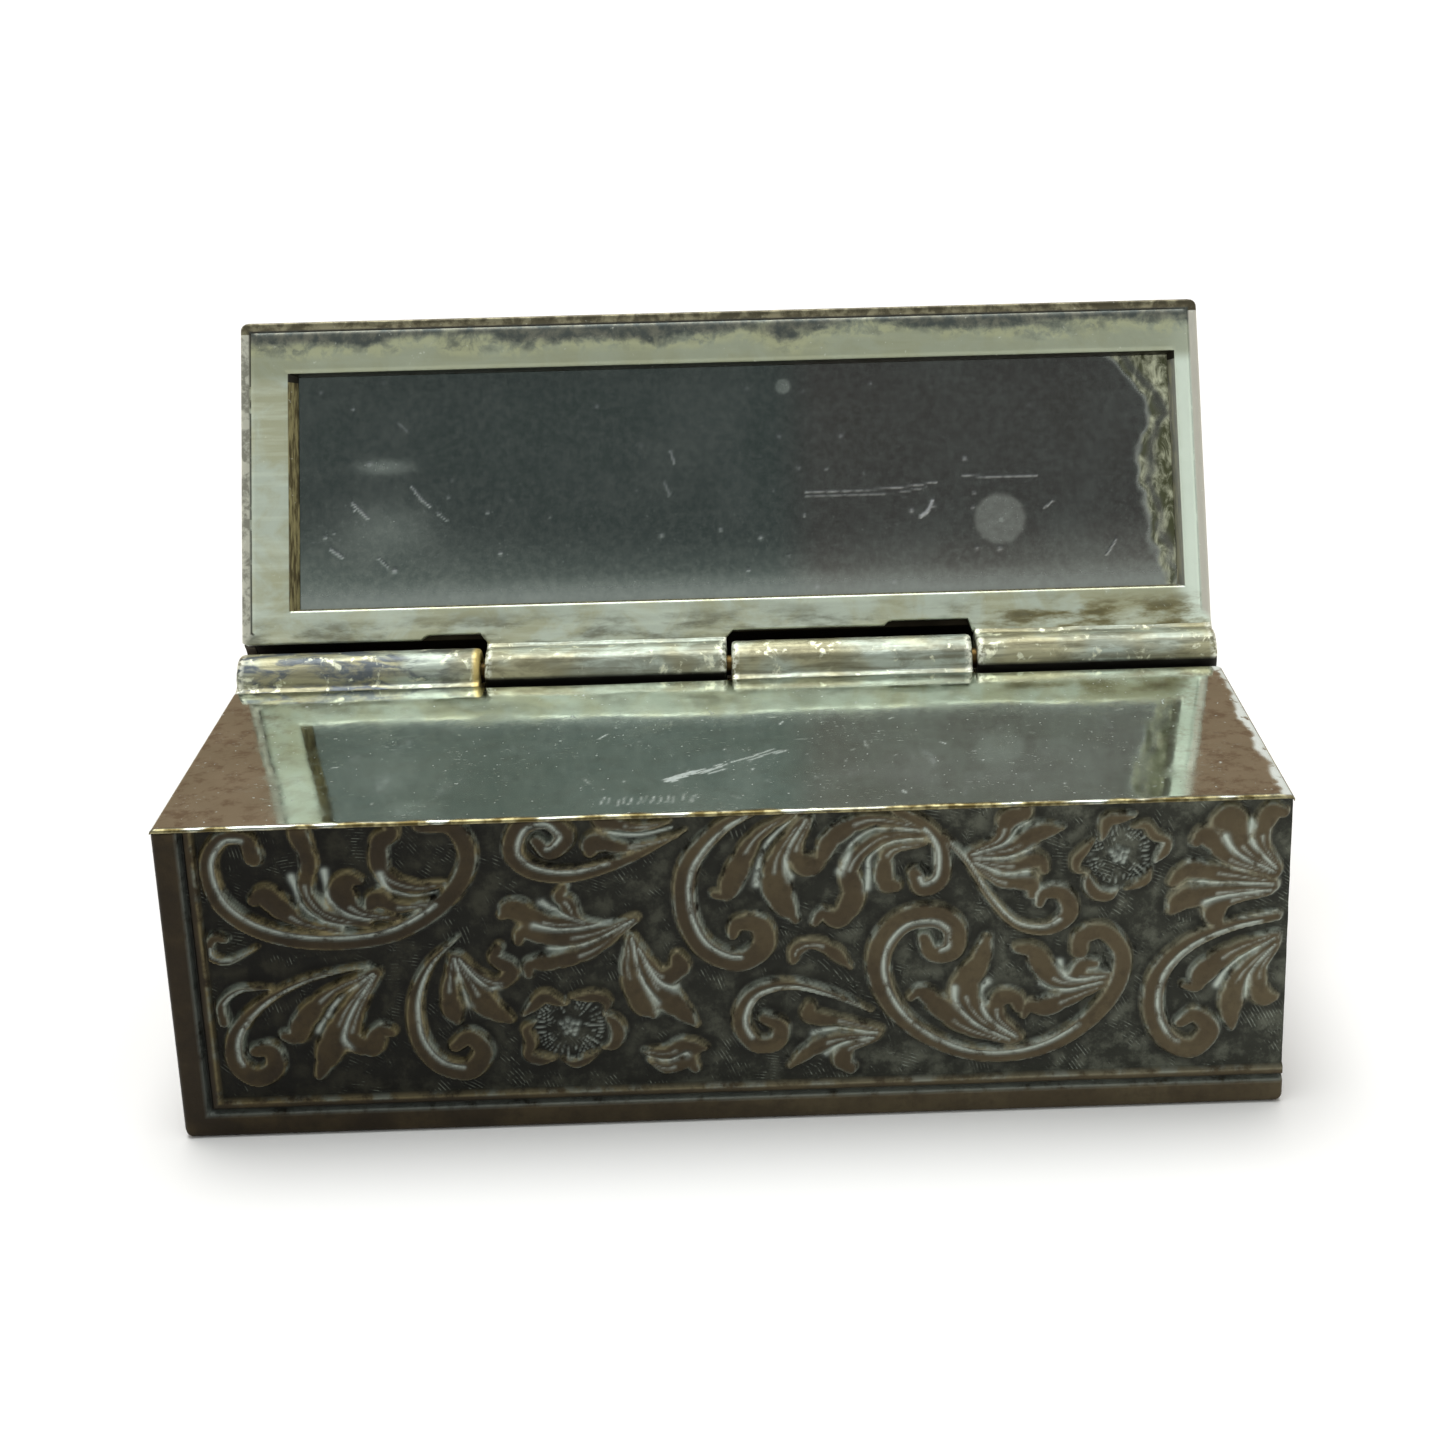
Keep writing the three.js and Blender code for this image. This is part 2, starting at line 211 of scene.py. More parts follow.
class Relief:
    """Raised and engraved shapes on a grid over a flat panel, in millimetres."""

    def __init__(self, width, height, pitch=RELIEF_PITCH):
        self.width = width
        self.height = height
        self.xs = np.linspace(0, width, int(round(width / pitch)) + 1)
        self.zs = np.linspace(0, height, int(round(height / pitch)) + 1)
        self.x, self.z = np.meshgrid(self.xs, self.zs)
        self.inside = np.full(self.x.shape, -9.0)   # distance inside the nearest raised edge
        self.sag = np.zeros(self.x.shape)           # fall of a raised shape toward its edge
        self.cut = np.zeros(self.x.shape)           # engraved lines, 0 to 1
        self.extra = np.zeros(self.x.shape)         # beads and other height changes, mm
        self.band = np.full(self.x.shape, 99.0)     # distance from a bordered edge, in borders

    def window(self, curve, margin=0.7):
        """The part of the grid near a curve, or None off the panel."""
        reach = curve[:, 2].max() + margin
        x0, x1 = np.searchsorted(self.xs, [curve[:, 0].min() - reach, curve[:, 0].max() + reach])
        z0, z1 = np.searchsorted(self.zs, [curve[:, 1].min() - reach, curve[:, 1].max() + reach])
        return (slice(z0, z1), slice(x0, x1)) if x1 > x0 and z1 > z0 else None

    def add_raised(self, area, depth, sag):
        """Joins a shape to what is raised already."""
        higher = depth > self.inside[area]
        self.inside[area] = np.where(higher, depth, self.inside[area])
        self.sag[area] = np.where(higher, sag, self.sag[area])

    def engrave(self, points, share=1.0):
        """A cut line through (x, z, half_width) points."""
        curve = spline(points)
        area = self.window(curve, 0.4)
        if area is None:
            return
        depth, width = depth_inside(curve, self.x[area], self.z[area])
        line = bell(width - depth, 0, width) * share
        self.cut[area] = np.maximum(self.cut[area], line)

    def scroll(self, points):
        """A scroll band, a little hollow, with a cut line along the inside of its curve."""
        curve = spline(points)
        area = self.window(curve)
        if area is None:
            return
        depth, width = depth_inside(curve, self.x[area], self.z[area])
        self.add_raised(area, depth, 0.05 * smooth(depth / width, 0.3, 1.0))
        start, stop = int(0.05 * len(curve)), int(0.74 * len(curve))
        line = curve[start:stop:4].copy()
        along = np.gradient(line[:, :2], axis=0)
        heading = np.unwrap(np.arctan2(along[:, 1], along[:, 0]))
        side = np.sign(heading[-1] - heading[0])
        line[:, 0] -= np.sin(heading) * side * line[:, 2] * 0.40
        line[:, 1] += np.cos(heading) * side * line[:, 2] * 0.40
        line[:, 2] = VEIN_WIDTH * np.clip(line[:, 2] / 0.4, 0.4, 1)
        self.engrave(line)

    def leaf(self, strands):
        """Lobes that spring from one root and run together, with cut lines between them."""
        neighbours = (strands[1:2] or strands) + strands[:-1]
        curves = [lobe(strand, neighbour[-1]) for strand, neighbour in zip(strands, neighbours)]
        area = self.window(np.vstack(curves))
        if area is None:
            return
        depths = np.array([depth_inside(curve, self.x[area], self.z[area])[0] for curve in curves])
        joined = LEAF_BLEND * np.log(np.exp(depths / LEAF_BLEND).sum(0) + 1e-9)
        self.add_raised(area, joined, 0.07 * fade(joined, 0.1, 0.6))
        for a, b in zip(curves[:-1], curves[1:]):
            self.vein((a, b), 0.03, 0.74, 1.0)
        for curve in curves:
            self.vein((curve,), 0.08, 0.52, 0.5)

    def vein(self, curves, start, stop, share):
        """A cut line along the middle of one or two curves, ending in a small drop."""
        steps = np.linspace(start, stop, 7)
        line = sum(curve[(steps * (len(curve) - 1)).astype(int)] for curve in curves) / len(curves)
        line[:, 2] = VEIN_WIDTH * np.array([0.55, 0.7, 0.8, 0.9, 1.0, 1.25, 1.7]) * share
        self.engrave(line, share)

    def flower(self, cx, cz, scale, turn, flip):
        """Raised, ragged petal tips round a sunk dish with radial cuts and a stippled eye."""
        def placed(x, z):
            x *= flip
            return (cx + scale * (x * math.cos(turn) - z * math.sin(turn)),
                    cz + scale * (x * math.sin(turn) + z * math.cos(turn)))

        for petal in PETALS:
            curve = spline([(*placed(x, z), w * scale) for x, z, w in petal])
            area = self.window(curve)
            depth, width = depth_inside(curve, self.x[area], self.z[area])
            self.add_raised(area, depth, 0.04 * smooth(depth / width, 0.4, 1.0))
        x, z = self.x - cx, self.z - cz
        r = np.hypot(x, z) / scale
        angle = np.arctan2(z, x)
        rays = smooth(np.cos(angle * 40 + 2.5 * np.sin(5 * angle)), 0.3, 1.0)
        ragged = 0.25 * np.sin(7 * angle + 1) + 0.15 * np.sin(17 * angle)
        ring = smooth(r + ragged, 1.0, 1.4) * fade(r, 1.8, 2.0) * (self.inside < 0.05)
        self.extra += 0.10 * rays * ring
        self.cut = np.maximum(self.cut, rays * ring * 0.5)
        for k in range(11):
            out, turned = 0.17 * math.sqrt(k) * scale, 2.4 * k
            from_bead = (x - out * math.cos(turned)) ** 2 + (z - out * math.sin(turned)) ** 2
            bead = np.exp(-from_bead / 0.016)
            self.extra += 0.18 * bead
            self.cut = np.maximum(self.cut, 0.75 * bead)

    def border(self, left=None, bottom=None, right=None):
        """Plain bands, then a sunk line and a fillet; each value is the whole width in mm."""
        distances = (self.x, self.z, self.width - self.x)
        for distance, width in zip(distances, (left, bottom, right)):
            if width:
                self.band = np.minimum(self.band, distance / width)

    def finish(self, seed):
        """Works out the height below the face in mm, and the masks for the material."""
        rng = np.random.default_rng(seed)
        raised = smooth(self.inside, -EDGE_SLOPE * 0.5, EDGE_SLOPE * 0.5)
        rim = bell(self.inside, 0.02, RIM_WIDTH)
        # Painted shade: the ground is darkened close beside the raised shapes, where shade falls.
        crevice = smooth(self.inside, -0.75, -0.10) * (1 - raised)
        in_border = self.band < 1.06
        plain = fade(self.band, 0.62, 0.67)
        fillet = smooth(self.band, 0.76, 0.80) * fade(self.band, 0.98, 1.03)
        groove = smooth(self.band, 0.64, 0.70) * fade(self.band, 0.74, 0.80)
        raised = np.where(in_border, np.maximum(plain, fillet), raised)
        rim = np.where(in_border, 0.55 * bell(self.band, 0.96, 0.045), rim)
        # In the border, the painted shade lies in the sunk line.
        crevice = np.where(in_border, groove, crevice)
        cut = np.where(in_border, 0, self.cut)
        border_line = 0.42 * bell(self.band, 0.64, 0.035)
        sag = np.where(in_border, 0.09 * (self.band > 0.7), self.sag)
        height = -RELIEF_DEPTH * (1 - raised) - (VEIN_DEPTH * cut + sag) * raised
        height += np.where(in_border, 0, self.extra) * (1 - raised)
        height += 0.035 * blurred_noise(rng, self.x.shape, 8) * (1 - raised)
        height += 0.014 * blurred_noise(rng, self.x.shape, 22)
        self.depth = np.clip(height, -RELIEF_DEPTH * 1.3, 0)
        self.raised = raised
        self.rim = np.clip(rim, 0, 1)
        self.line = np.where(in_border, border_line, np.clip(cut, 0, 1))
        self.crevice = crevice
        self.hatch = hatch_phase(self.x, self.z, self.width, self.height, rng)
        return self


# ---------------------------------------------------------------- the ornament itself

# Scroll bands, tail to curl, as (x, z, half_width) in mm on the front panel.
SCROLLS = [
    [(5.9, 15.7, .5), (5.6, 16.7, .42), (4.4, 16.7, .42), (3.6, 15.3, .45), (4.1, 13.1, .5),
     (6.0, 11.6, .5), (9.0, 10.95, .5), (12.4, 11.3, .5), (15.2, 13.0, .5), (16.5, 15.2, .5),
     (15.9, 17.0, .5), (14.4, 17.2, .5)],
    [(5.5, 10.7, .1), (4.0, 10.0, .2), (3.1, 10.4, .25), (3.4, 11.3, .28), (4.0, 11.2, .2)],
    [(6.0, 8.4, .1), (4.4, 8.4, .2), (3.4, 7.6, .25), (3.4, 6.6, .32)],
    [(11.0, 9.5, .1), (8.0, 8.9, .2), (5.6, 7.7, .3), (4.0, 6.0, .45), (3.8, 4.3, .55), (4.7, 3.4, .58),
     (5.7, 3.9, .55), (5.6, 4.9, .48), (4.8, 4.9, .35)],
    [(15.6, 10.9, .1), (14.1, 9.5, .25), (13.2, 7.5, .4), (13.2, 5.3, .5), (14.1, 3.8, .55), (15.6, 3.4, .58),
     (16.4, 4.4, .55), (15.8, 5.3, .48), (15.0, 4.8, .35)],
    [(20.0, 16.1, .35), (20.6, 15.5, .45), (21.4, 16.3, .55), (20.6, 17.2, .5), (19.3, 16.9, .55),
     (18.8, 15.5, .55), (19.7, 14.5, .5), (21.6, 14.2, .42), (24.0, 14.8, .32), (26.2, 15.8, .2),
     (27.4, 16.4, .08)],
    [(31.2, 17.5, .2), (29.2, 16.5, .42), (27.5, 14.5, .55), (27.2, 12.1, .6), (28.0, 10.0, .6),
     (29.7, 9.1, .6), (31.0, 9.9, .62), (30.9, 11.1, .58), (29.8, 11.2, .42), (29.5, 10.6, .3)],
    [(36.4, 6.0, .1), (34.3, 7.1, .24), (32.2, 7.7, .32), (30.4, 7.2, .42), (29.7, 5.7, .5), (30.3, 4.4, .5),
     (31.4, 4.4, .5), (31.7, 5.3, .45), (30.9, 5.8, .33)],
    [(38.8, 13.7, .4), (39.2, 12.9, .5), (40.1, 13.4, .5), (40.2, 15.0, .42), (39.5, 16.2, .38),
     (38.0, 17.2, .3)],
    [(40.3, 15.7, .18), (41.5, 14.2, .2), (42.6, 12.2, .24), (43.9, 10.7, .3), (45.5, 10.4, .4),
     (46.6, 11.2, .5),
     (46.3, 12.3, .48), (45.4, 12.4, .38), (45.1, 11.8, .28)],
    [(39.2, 10.1, .38), (39.6, 9.2, .5), (40.6, 9.4, .62), (40.7, 10.6, .65), (39.7, 11.3, .68),
     (38.1, 11.0, .68),
     (37.0, 9.6, .68), (36.9, 7.8, .62), (37.8, 5.8, .52), (39.6, 4.2, .45), (42.0, 3.3, .42),
     (44.8, 3.5, .45),
     (47.2, 4.8, .48), (48.9, 6.8, .5), (49.3, 8.8, .5), (48.4, 10.1, .5), (47.3, 9.9, .5), (47.1, 9.1, .48)],
    [(57.2, 10.7, .3), (54.8, 10.2, .35), (52.6, 9.2, .45), (51.2, 7.6, .55), (50.9, 5.6, .6),
     (51.6, 3.9, .6),
     (52.9, 3.3, .6), (53.8, 4.3, .6), (53.1, 5.2, .45), (52.3, 4.8, .33)],
]

# Leaves: each is a list of strands from the shared root to a lobe's tip.
LEAVES = [
    [[(9.8, 11.5, .1), (8.0, 12.0, .25), (6.8, 13.0, .62), (6.2, 13.6, .5)],
     [(11.2, 11.8, .1), (9.2, 12.4, .28), (8.3, 13.8, .35), (8.6, 15.4, .4), (8.2, 17.2, .5)],
     [(12.8, 12.1, .12), (10.9, 12.5, .35), (10.0, 13.5, .72), (10.4, 14.3, .4)]],
    [[(14.6, 12.9, .1), (12.9, 12.7, .28), (11.8, 13.2, .45)],
     [(15.3, 13.9, .1), (13.6, 13.8, .3), (12.2, 14.6, .42), (12.2, 16.2, .48), (12.9, 16.8, .35)]],
    [[(11.3, 9.2, .08), (9.0, 8.1, .28), (7.5, 6.6, .55), (7.0, 5.6, .42)],
     [(11.3, 9.1, .08), (9.6, 7.0, .3), (8.7, 5.0, .68), (7.9, 3.3, .2)],
     [(11.4, 9.0, .08), (10.3, 7.0, .28), (9.8, 5.4, .45), (10.7, 4.9, .55), (11.2, 5.8, .4)]],
    [[(15.3, 9.9, .08), (15.0, 8.2, .35), (15.0, 6.9, .5), (15.2, 6.2, .2)],
     [(15.4, 9.8, .08), (16.2, 8.2, .38), (16.8, 7.0, .62), (17.9, 6.2, .2)],
     [(15.7, 9.8, .08), (16.5, 8.8, .2), (17.5, 8.3, .32), (18.2, 9.0, .42), (17.4, 9.7, .32)]],
    [[(27.0, 16.1, .08), (24.6, 15.6, .22), (22.9, 15.9, .5)],
     [(26.6, 16.9, .08), (25.0, 16.7, .25), (23.2, 17.2, .4)]],
    [[(21.6, 11.7, .2), (21.3, 12.6, .42), (20.9, 13.0, .3)],
     [(22.6, 11.4, .15), (20.2, 11.6, .45), (18.6, 12.4, .55), (17.9, 12.0, .15)],
     [(24.6, 11.7, .06), (22.4, 10.9, .28), (20.4, 10.7, .4), (19.0, 11.1, .35)],
     [(24.7, 11.6, .06), (22.4, 10.0, .35), (20.4, 9.4, .42), (19.2, 9.3, .32)]],
    [[(24.3, 10.8, .06), (24.1, 8.7, .38), (24.6, 6.9, .5), (25.2, 6.2, .2)],
     [(24.5, 10.6, .06), (25.3, 8.2, .5), (26.3, 6.8, .62), (27.4, 5.5, .12)],
     [(24.8, 9.6, .08), (25.8, 8.4, .3), (26.7, 8.8, .52)]],
    [[(24.6, 4.1, .06), (25.8, 4.0, .35), (26.8, 4.3, .48), (27.8, 4.2, .1)],
     [(24.9, 3.5, .06), (25.8, 3.1, .3), (26.8, 3.5, .4)]],
    [[(32.8, 17.2, .1), (30.9, 15.9, .35), (29.7, 13.7, .58), (29.3, 12.8, .3)],
     [(33.3, 16.9, .1), (31.9, 14.7, .42), (31.9, 12.8, .72), (32.7, 11.3, .22)],
     [(33.7, 16.8, .1), (32.9, 15.1, .3), (33.4, 14.3, .58)]],
    [[(39.2, 16.2, .1), (36.7, 16.7, .32), (34.8, 15.8, .5), (34.1, 14.6, .28)],
     [(39.4, 15.8, .1), (37.2, 15.7, .3), (35.6, 14.2, .45), (35.7, 12.5, .58), (34.9, 11.3, .5),
      (34.1, 11.6, .32)],
     [(39.4, 15.3, .1), (37.6, 14.9, .28), (37.3, 13.3, .5)]],
    [[(41.6, 14.7, .08), (43.1, 15.4, .28), (43.6, 16.5, .48), (44.4, 16.8, .38)],
     [(41.7, 14.5, .08), (43.8, 14.9, .35), (45.1, 15.7, .48), (46.3, 15.9, .12)],
     [(41.8, 14.3, .08), (43.6, 13.9, .25), (45.1, 14.2, .36)],
     [(41.8, 14.1, .08), (43.1, 13.1, .3), (44.6, 12.9, .42)]],
    [[(57.2, 13.4, .1), (56.4, 15.0, .35), (56.8, 16.4, .5)],
     [(57.1, 13.2, .1), (55.4, 14.6, .4), (54.9, 16.1, .72)],
     [(57.1, 13.0, .1), (54.8, 13.9, .3), (53.6, 15.2, .5)]],
    [[(57.1, 12.6, .1), (54.6, 13.1, .4), (52.7, 13.4, .45), (51.8, 12.7, .18)],
     [(57.1, 12.3, .1), (54.4, 12.1, .35), (52.5, 11.8, .6), (51.8, 11.1, .18)],
     [(56.8, 12.0, .08), (54.8, 11.6, .25), (54.0, 10.9, .52)]],
    [[(32.5, 9.0, .22), (32.8, 9.7, .36), (33.7, 9.9, .28), (34.6, 9.4, .38), (35.4, 8.5, .1)]],
    [[(36.9, 4.9, .08), (34.9, 5.5, .22), (33.3, 5.8, .42)],
     [(36.6, 4.6, .08), (34.8, 4.5, .25), (33.4, 4.0, .42), (32.1, 3.0, .15)],
     [(36.5, 4.4, .08), (35.2, 3.9, .25), (34.8, 3.2, .5)]],
    [[(43.4, 4.0, .08), (41.2, 4.9, .4), (39.9, 6.1, .55), (39.0, 7.0, .35)],
     [(43.8, 4.1, .1), (41.9, 5.5, .5), (41.2, 7.2, .7), (42.0, 8.6, .52), (42.4, 9.9, .25)],
     [(44.1, 4.2, .08), (42.9, 5.4, .36), (43.0, 6.5, .42), (43.8, 6.5, .42)]],
    [[(48.6, 7.7, .08), (47.1, 7.6, .3), (47.3, 8.3, .35)],
     [(48.5, 7.5, .08), (46.4, 7.3, .35), (45.4, 8.0, .6), (44.8, 9.1, .45), (44.0, 9.3, .25)],
     [(48.4, 7.1, .08), (46.6, 6.4, .42), (45.3, 5.9, .5), (44.5, 6.0, .28)]],
    [[(57.2, 9.0, .1), (56.4, 7.6, .3), (56.5, 6.2, .5)],
     [(57.2, 9.3, .1), (55.4, 7.4, .42), (54.9, 5.6, .58), (55.0, 4.3, .12)],
     [(57.2, 9.7, .1), (55.0, 8.8, .4), (53.5, 7.6, .6), (53.1, 6.8, .28)]],
]

# One flower's petal tips about its middle, in mm.
PETALS = [
    [(-2.5, 0.9, .12), (-1.9, 1.5, .36), (-1.3, 2.0, .42), (-0.6, 1.7, .30), (-0.1, 1.5, .10)],
    [(0.2, 1.9, .14), (0.9, 1.9, .30), (1.7, 1.9, .36), (2.2, 1.5, .26), (2.0, 0.9, .10)],
    [(2.0, 0.8, .12), (2.5, 0.3, .40), (2.7, -0.4, .46), (2.4, -1.1, .34), (1.8, -1.3, .10)],
    [(1.5, -1.6, .10), (0.8, -2.0, .30), (0.2, -2.2, .30), (-0.4, -2.0, .14)],
    [(-0.9, -1.9, .10), (-1.8, -1.9, .36), (-2.4, -1.6, .30), (-2.2, -0.8, .36), (-2.4, 0.0, .30),
     (-1.9, 0.5, .12)],
]

# Flowers as (x, z, scale, turn in radians, 1 or -1 for a mirrored one).
FLOWERS = [(20.9, 5.6, 0.92, 0.0, 1), (49.2, 14.3, 0.86, 0.9, -1)]

DRAWING_SHIFT = -0.65     # from the drawing's left edge to the panel's, mm
DRAWING_LEAN = 0.018      # and how far it leans to the left as it rises
BORDER_WIDTH = 2.05


def draw_ornament(relief, change, scale=1.0, flip=1):
    """Draws the whole design, with each point passed through change."""
    def moved(points):
        return [(*change(x, z), w * scale) for x, z, w in points]

    for points in SCROLLS:
        relief.scroll(moved(points))
    for strands in LEAVES:
        relief.leaf([moved(strand) for strand in strands])
    for x, z, size, turn, side in FLOWERS:
        cx, cz = change(x, z)
        if 0 < cx < relief.width and 0 < cz < relief.height:
            relief.flower(cx, cz, size * scale, turn * flip, side * flip)


# ---------------------------------------------------------------- mesh helpers


def new_object(name, vertices, faces, smooth_faces=True):
    """A mesh object in the scene."""
    mesh = bpy.data.meshes.new(name)
    mesh.from_pydata([tuple(v) for v in vertices], [], [tuple(f) for f in faces])
    piece = bpy.data.objects.new(name, mesh)
    bpy.context.scene.collection.objects.link(piece)
    if smooth_faces:
        mesh.polygons.foreach_set("use_smooth", [True] * len(mesh.polygons))
    return piece


def grid_faces(rows, columns):
    """Quads over a grid of vertices, rows by columns."""
    j, i = np.meshgrid(np.arange(rows - 1), np.arange(columns - 1), indexing="ij")
    a = j * columns + i
    return np.stack([a, a + 1, a + columns + 1, a + columns], -1).reshape(-1, 4)


def ring_faces(rows, columns):
    """Quads over a grid that closes on itself both ways."""
    j, i = np.meshgrid(np.arange(rows), np.arange(columns), indexing="ij")
    nj, ni = (j + 1) % rows, (i + 1) % columns
    quads = [j * columns + i, j * columns + ni, nj * columns + ni, nj * columns + i]
    return np.stack(quads, -1).reshape(-1, 4)


def border_loop(rows, columns):
    """Vertex numbers round the edge of a grid, from its first corner along its first row."""
    bottom = list(range(columns))
    right = [(j + 1) * columns - 1 for j in range(1, rows)]
    top = [(rows - 1) * columns + i for i in range(columns - 2, -1, -1)]
    left = [j * columns for j in range(rows - 2, 0, -1)]
    return bottom + right + top + left


def slab(name, outer, outward, sheet):
    """A closed sheet: a grid of outer points over a flat back, sheet below the highest point."""
    rows, columns = outer.shape[:2]
    points = outer.reshape(-1, 3)
    normal = np.array(outward, float)
    loop = border_loop(rows, columns)
    edge = points[loop]
    back = edge + np.outer((points @ normal).max() - sheet - edge @ normal, normal)
    first = len(points)
    count = len(loop)
    vertices = np.vstack([points, back])
    faces = grid_faces(rows, columns).tolist()
    for k in range(count):
        n = (k + 1) % count
        faces.append((loop[n], loop[k], first + k, first + n))
    faces.append(tuple(range(first + count - 1, first - 1, -1)))
    piece = new_object(name, vertices, faces)
    piece.data.polygons[-1].use_smooth = False
    return piece


def add_attribute(piece, name, values, rest=1.0):
    """A number on each of the first vertices, and one value on the rest."""
    data = np.full(len(piece.data.vertices), rest, np.float32)
    data[: values.size] = values.ravel()
    attribute = piece.data.attributes.new(name, "FLOAT", "POINT")
    attribute.data.foreach_set("value", data)


def add_masks(piece, relief):
    """Hands a relief's masks to the material."""
    for name, rest in (("raised", 1.0), ("rim", 0.3), ("line", 0.0), ("crevice", 0.0), ("hatch", 1.0)):
        add_attribute(piece, name, getattr(relief, name), rest)


CORNER_ZONE = 2.0         # how far in from a rounded corner its grid gives way, mm


def edge_fall(distance, radius):
    """How far a rounded edge falls below the face, at a distance from the edge."""
    if radius == 0:
        return np.zeros(distance.shape)
    d = np.clip(distance, 0, radius)
    return radius - np.sqrt(np.maximum(radius**2 - (radius - d) ** 2, 0))


def relief_panel(name, relief, origin, right, up, sheet, rounding, corner=0.0, top_of=None):
    """A panel whose face is a finished relief. origin is its lower left outer corner in metres,
    right and up are unit vectors along it, rounding is (left, bottom, right, top) in mm, corner
    rounds its lower corners, and top_of gives the share of the full height at each x."""
    right, up = np.array(right, float), np.array(up, float)
    outward = np.cross(right, up)
    x, z = relief.x.copy(), relief.z.copy()
    fall = edge_fall(x, rounding[0]) + edge_fall(z, rounding[1])
    fall += edge_fall(relief.width - x, rounding[2]) + edge_fall(relief.height - z, rounding[3])
    depth = np.minimum(relief.depth, -fall)
    inset = edge_fall(z, corner)
    from_right = relief.width - relief.x
    x += np.where(relief.x < CORNER_ZONE, inset * (1 - relief.x / CORNER_ZONE), 0)
    x -= np.where(from_right < CORNER_ZONE, inset * (1 - from_right / CORNER_ZONE), 0)
    if top_of is not None:
        z *= top_of(relief.x)
    across, rise, out = (values[..., None] for values in (x, z, depth))
    points = np.array(origin) + MM * (across * right + rise * up + out * outward)
    piece = slab(name, points, outward, sheet)
    add_masks(piece, relief)
    return piece


# ---------------------------------------------------------------- material helpers


class Shader:
    """A node material with short calls for the nodes used here."""

    def __init__(self, name):
        self.material = bpy.data.materials.new(name)
        self.material.use_nodes = True
        self.tree = self.material.node_tree
        self.bsdf = self.tree.nodes["Principled BSDF"]
        self.place = self.node("ShaderNodeTexCoord").outputs["Object"]

    def node(self, kind, **settings):
        made = self.tree.nodes.new(kind)
        for key, value in settings.items():
            setattr(made, key, value)
        return made

    def put(self, socket, value):
        """Links an output, or sets a plain value."""
        if isinstance(value, bpy.types.NodeSocket):
            self.tree.links.new(value, socket)
        else:
            socket.default_value = value

    def stretched(self, x_mm, y_mm, z_mm, turn=(0, 0, 0)):
        """Coordinates in which noise has the given size along each axis."""
        mapping = self.node("ShaderNodeMapping")
        self.put(mapping.inputs["Vector"], self.place)
        mapping.inputs["Scale"].default_value = (1000 / x_mm, 1000 / y_mm, 1000 / z_mm)
        mapping.inputs["Rotation"].default_value = turn
        return mapping.outputs["Vector"]

    def noise(self, size_mm=None, detail=3.0, rough=0.55, distortion=0.0, vector=None):
        """Noise with features of about size_mm, or noise in stretched coordinates."""
        made = self.node("ShaderNodeTexNoise")
        self.put(made.inputs["Vector"], vector or self.place)
        made.inputs["Scale"].default_value = 1000 / size_mm if size_mm else 1.0
        made.inputs["Detail"].default_value = detail
        made.inputs["Roughness"].default_value = rough
        made.inputs["Distortion"].default_value = distortion
        return made.outputs["Fac"]

    def math(self, operation, a, b=0.0):
        made = self.node("ShaderNodeMath", operation=operation)
        self.put(made.inputs[0], a)
        self.put(made.inputs[1], b)
        return made.outputs[0]

    def times(self, a, b):
        return self.math("MULTIPLY", a, b)

    def plus(self, a, b):
        return self.math("ADD", a, b)

    def step(self, value, low, high):
        """0 below low to 1 above high."""
        made = self.node("ShaderNodeMapRange", interpolation_type="SMOOTHSTEP")
        self.put(made.inputs["Value"], value)
        made.inputs["From Min"].default_value = low
        made.inputs["From Max"].default_value = high
        return made.outputs["Result"]

    def fade(self, value, low, high):
        """1 below low to 0 above high."""
        return self.rest(self.step(value, low, high))

    def rest(self, value):
        """1 less a value."""
        return self.math("SUBTRACT", 1.0, value)

    def most(self, a, b):
        return self.math("MAXIMUM", a, b)

    def mix(self, factor, a, b):
        """Colour a to colour b by factor."""
        made = self.node("ShaderNodeMix", data_type="RGBA")
        self.put(made.inputs["Factor"], factor)
        self.put(made.inputs[6], a)
        self.put(made.inputs[7], b)
        return made.outputs[2]

    def attribute(self, name):
        return self.node("ShaderNodeAttribute", attribute_name=name).outputs["Fac"]

    def axis(self, name):
        """Object X, Y or Z in metres."""
        made = self.node("ShaderNodeSeparateXYZ")
        self.put(made.inputs[0], self.place)
        return made.outputs[name]

    def lines(self, length_mm, width_mm, turn, amount):
        """Thin scratches in one direction: 1 on a line and 0 off it."""
        vector = self.stretched(length_mm, width_mm, width_mm, turn)
        return self.step(self.noise(detail=2.0, distortion=0.4, vector=vector), 1 - amount, 1.03 - amount)

    def bump(self, height, distance_mm, strength):
        made = self.node("ShaderNodeBump")
        self.put(made.inputs["Height"], height)
        made.inputs["Distance"].default_value = distance_mm * MM
        made.inputs["Strength"].default_value = strength
        self.tree.links.new(made.outputs["Normal"], self.bsdf.inputs["Normal"])

    def finish(self, color, roughness, metallic):
        self.put(self.bsdf.inputs["Base Color"], color)
        self.put(self.bsdf.inputs["Roughness"], roughness)
        self.put(self.bsdf.inputs["Metallic"], metallic)
        return self.material


def rgb(r, g, b):
    """An sRGB colour as linear RGBA."""
    return tuple(((c + 0.055) / 1.055) ** 2.4 if c > 0.04 else c / 12.92 for c in (r, g, b)) + (1.0,)


def tarnished_brown(s, across):
    """The rubbed brown-gilt face of the chased metal, darker toward the closed end."""
    color = s.mix(across, rgb(0.152, 0.125, 0.085), rgb(0.295, 0.258, 0.192))
    lighter = s.mix(across, rgb(0.225, 0.188, 0.122), rgb(0.335, 0.300, 0.225))
    color = s.mix(s.step(s.noise(4.0, 4.0), 0.38, 0.68), color, lighter)
    dirt = s.times(s.step(s.noise(0.6, 5.0, 0.65), 0.44, 0.70), 0.5)
    return s.mix(dirt, color, s.mix(across, rgb(0.13, 0.11, 0.08), rgb(0.235, 0.205, 0.155)))


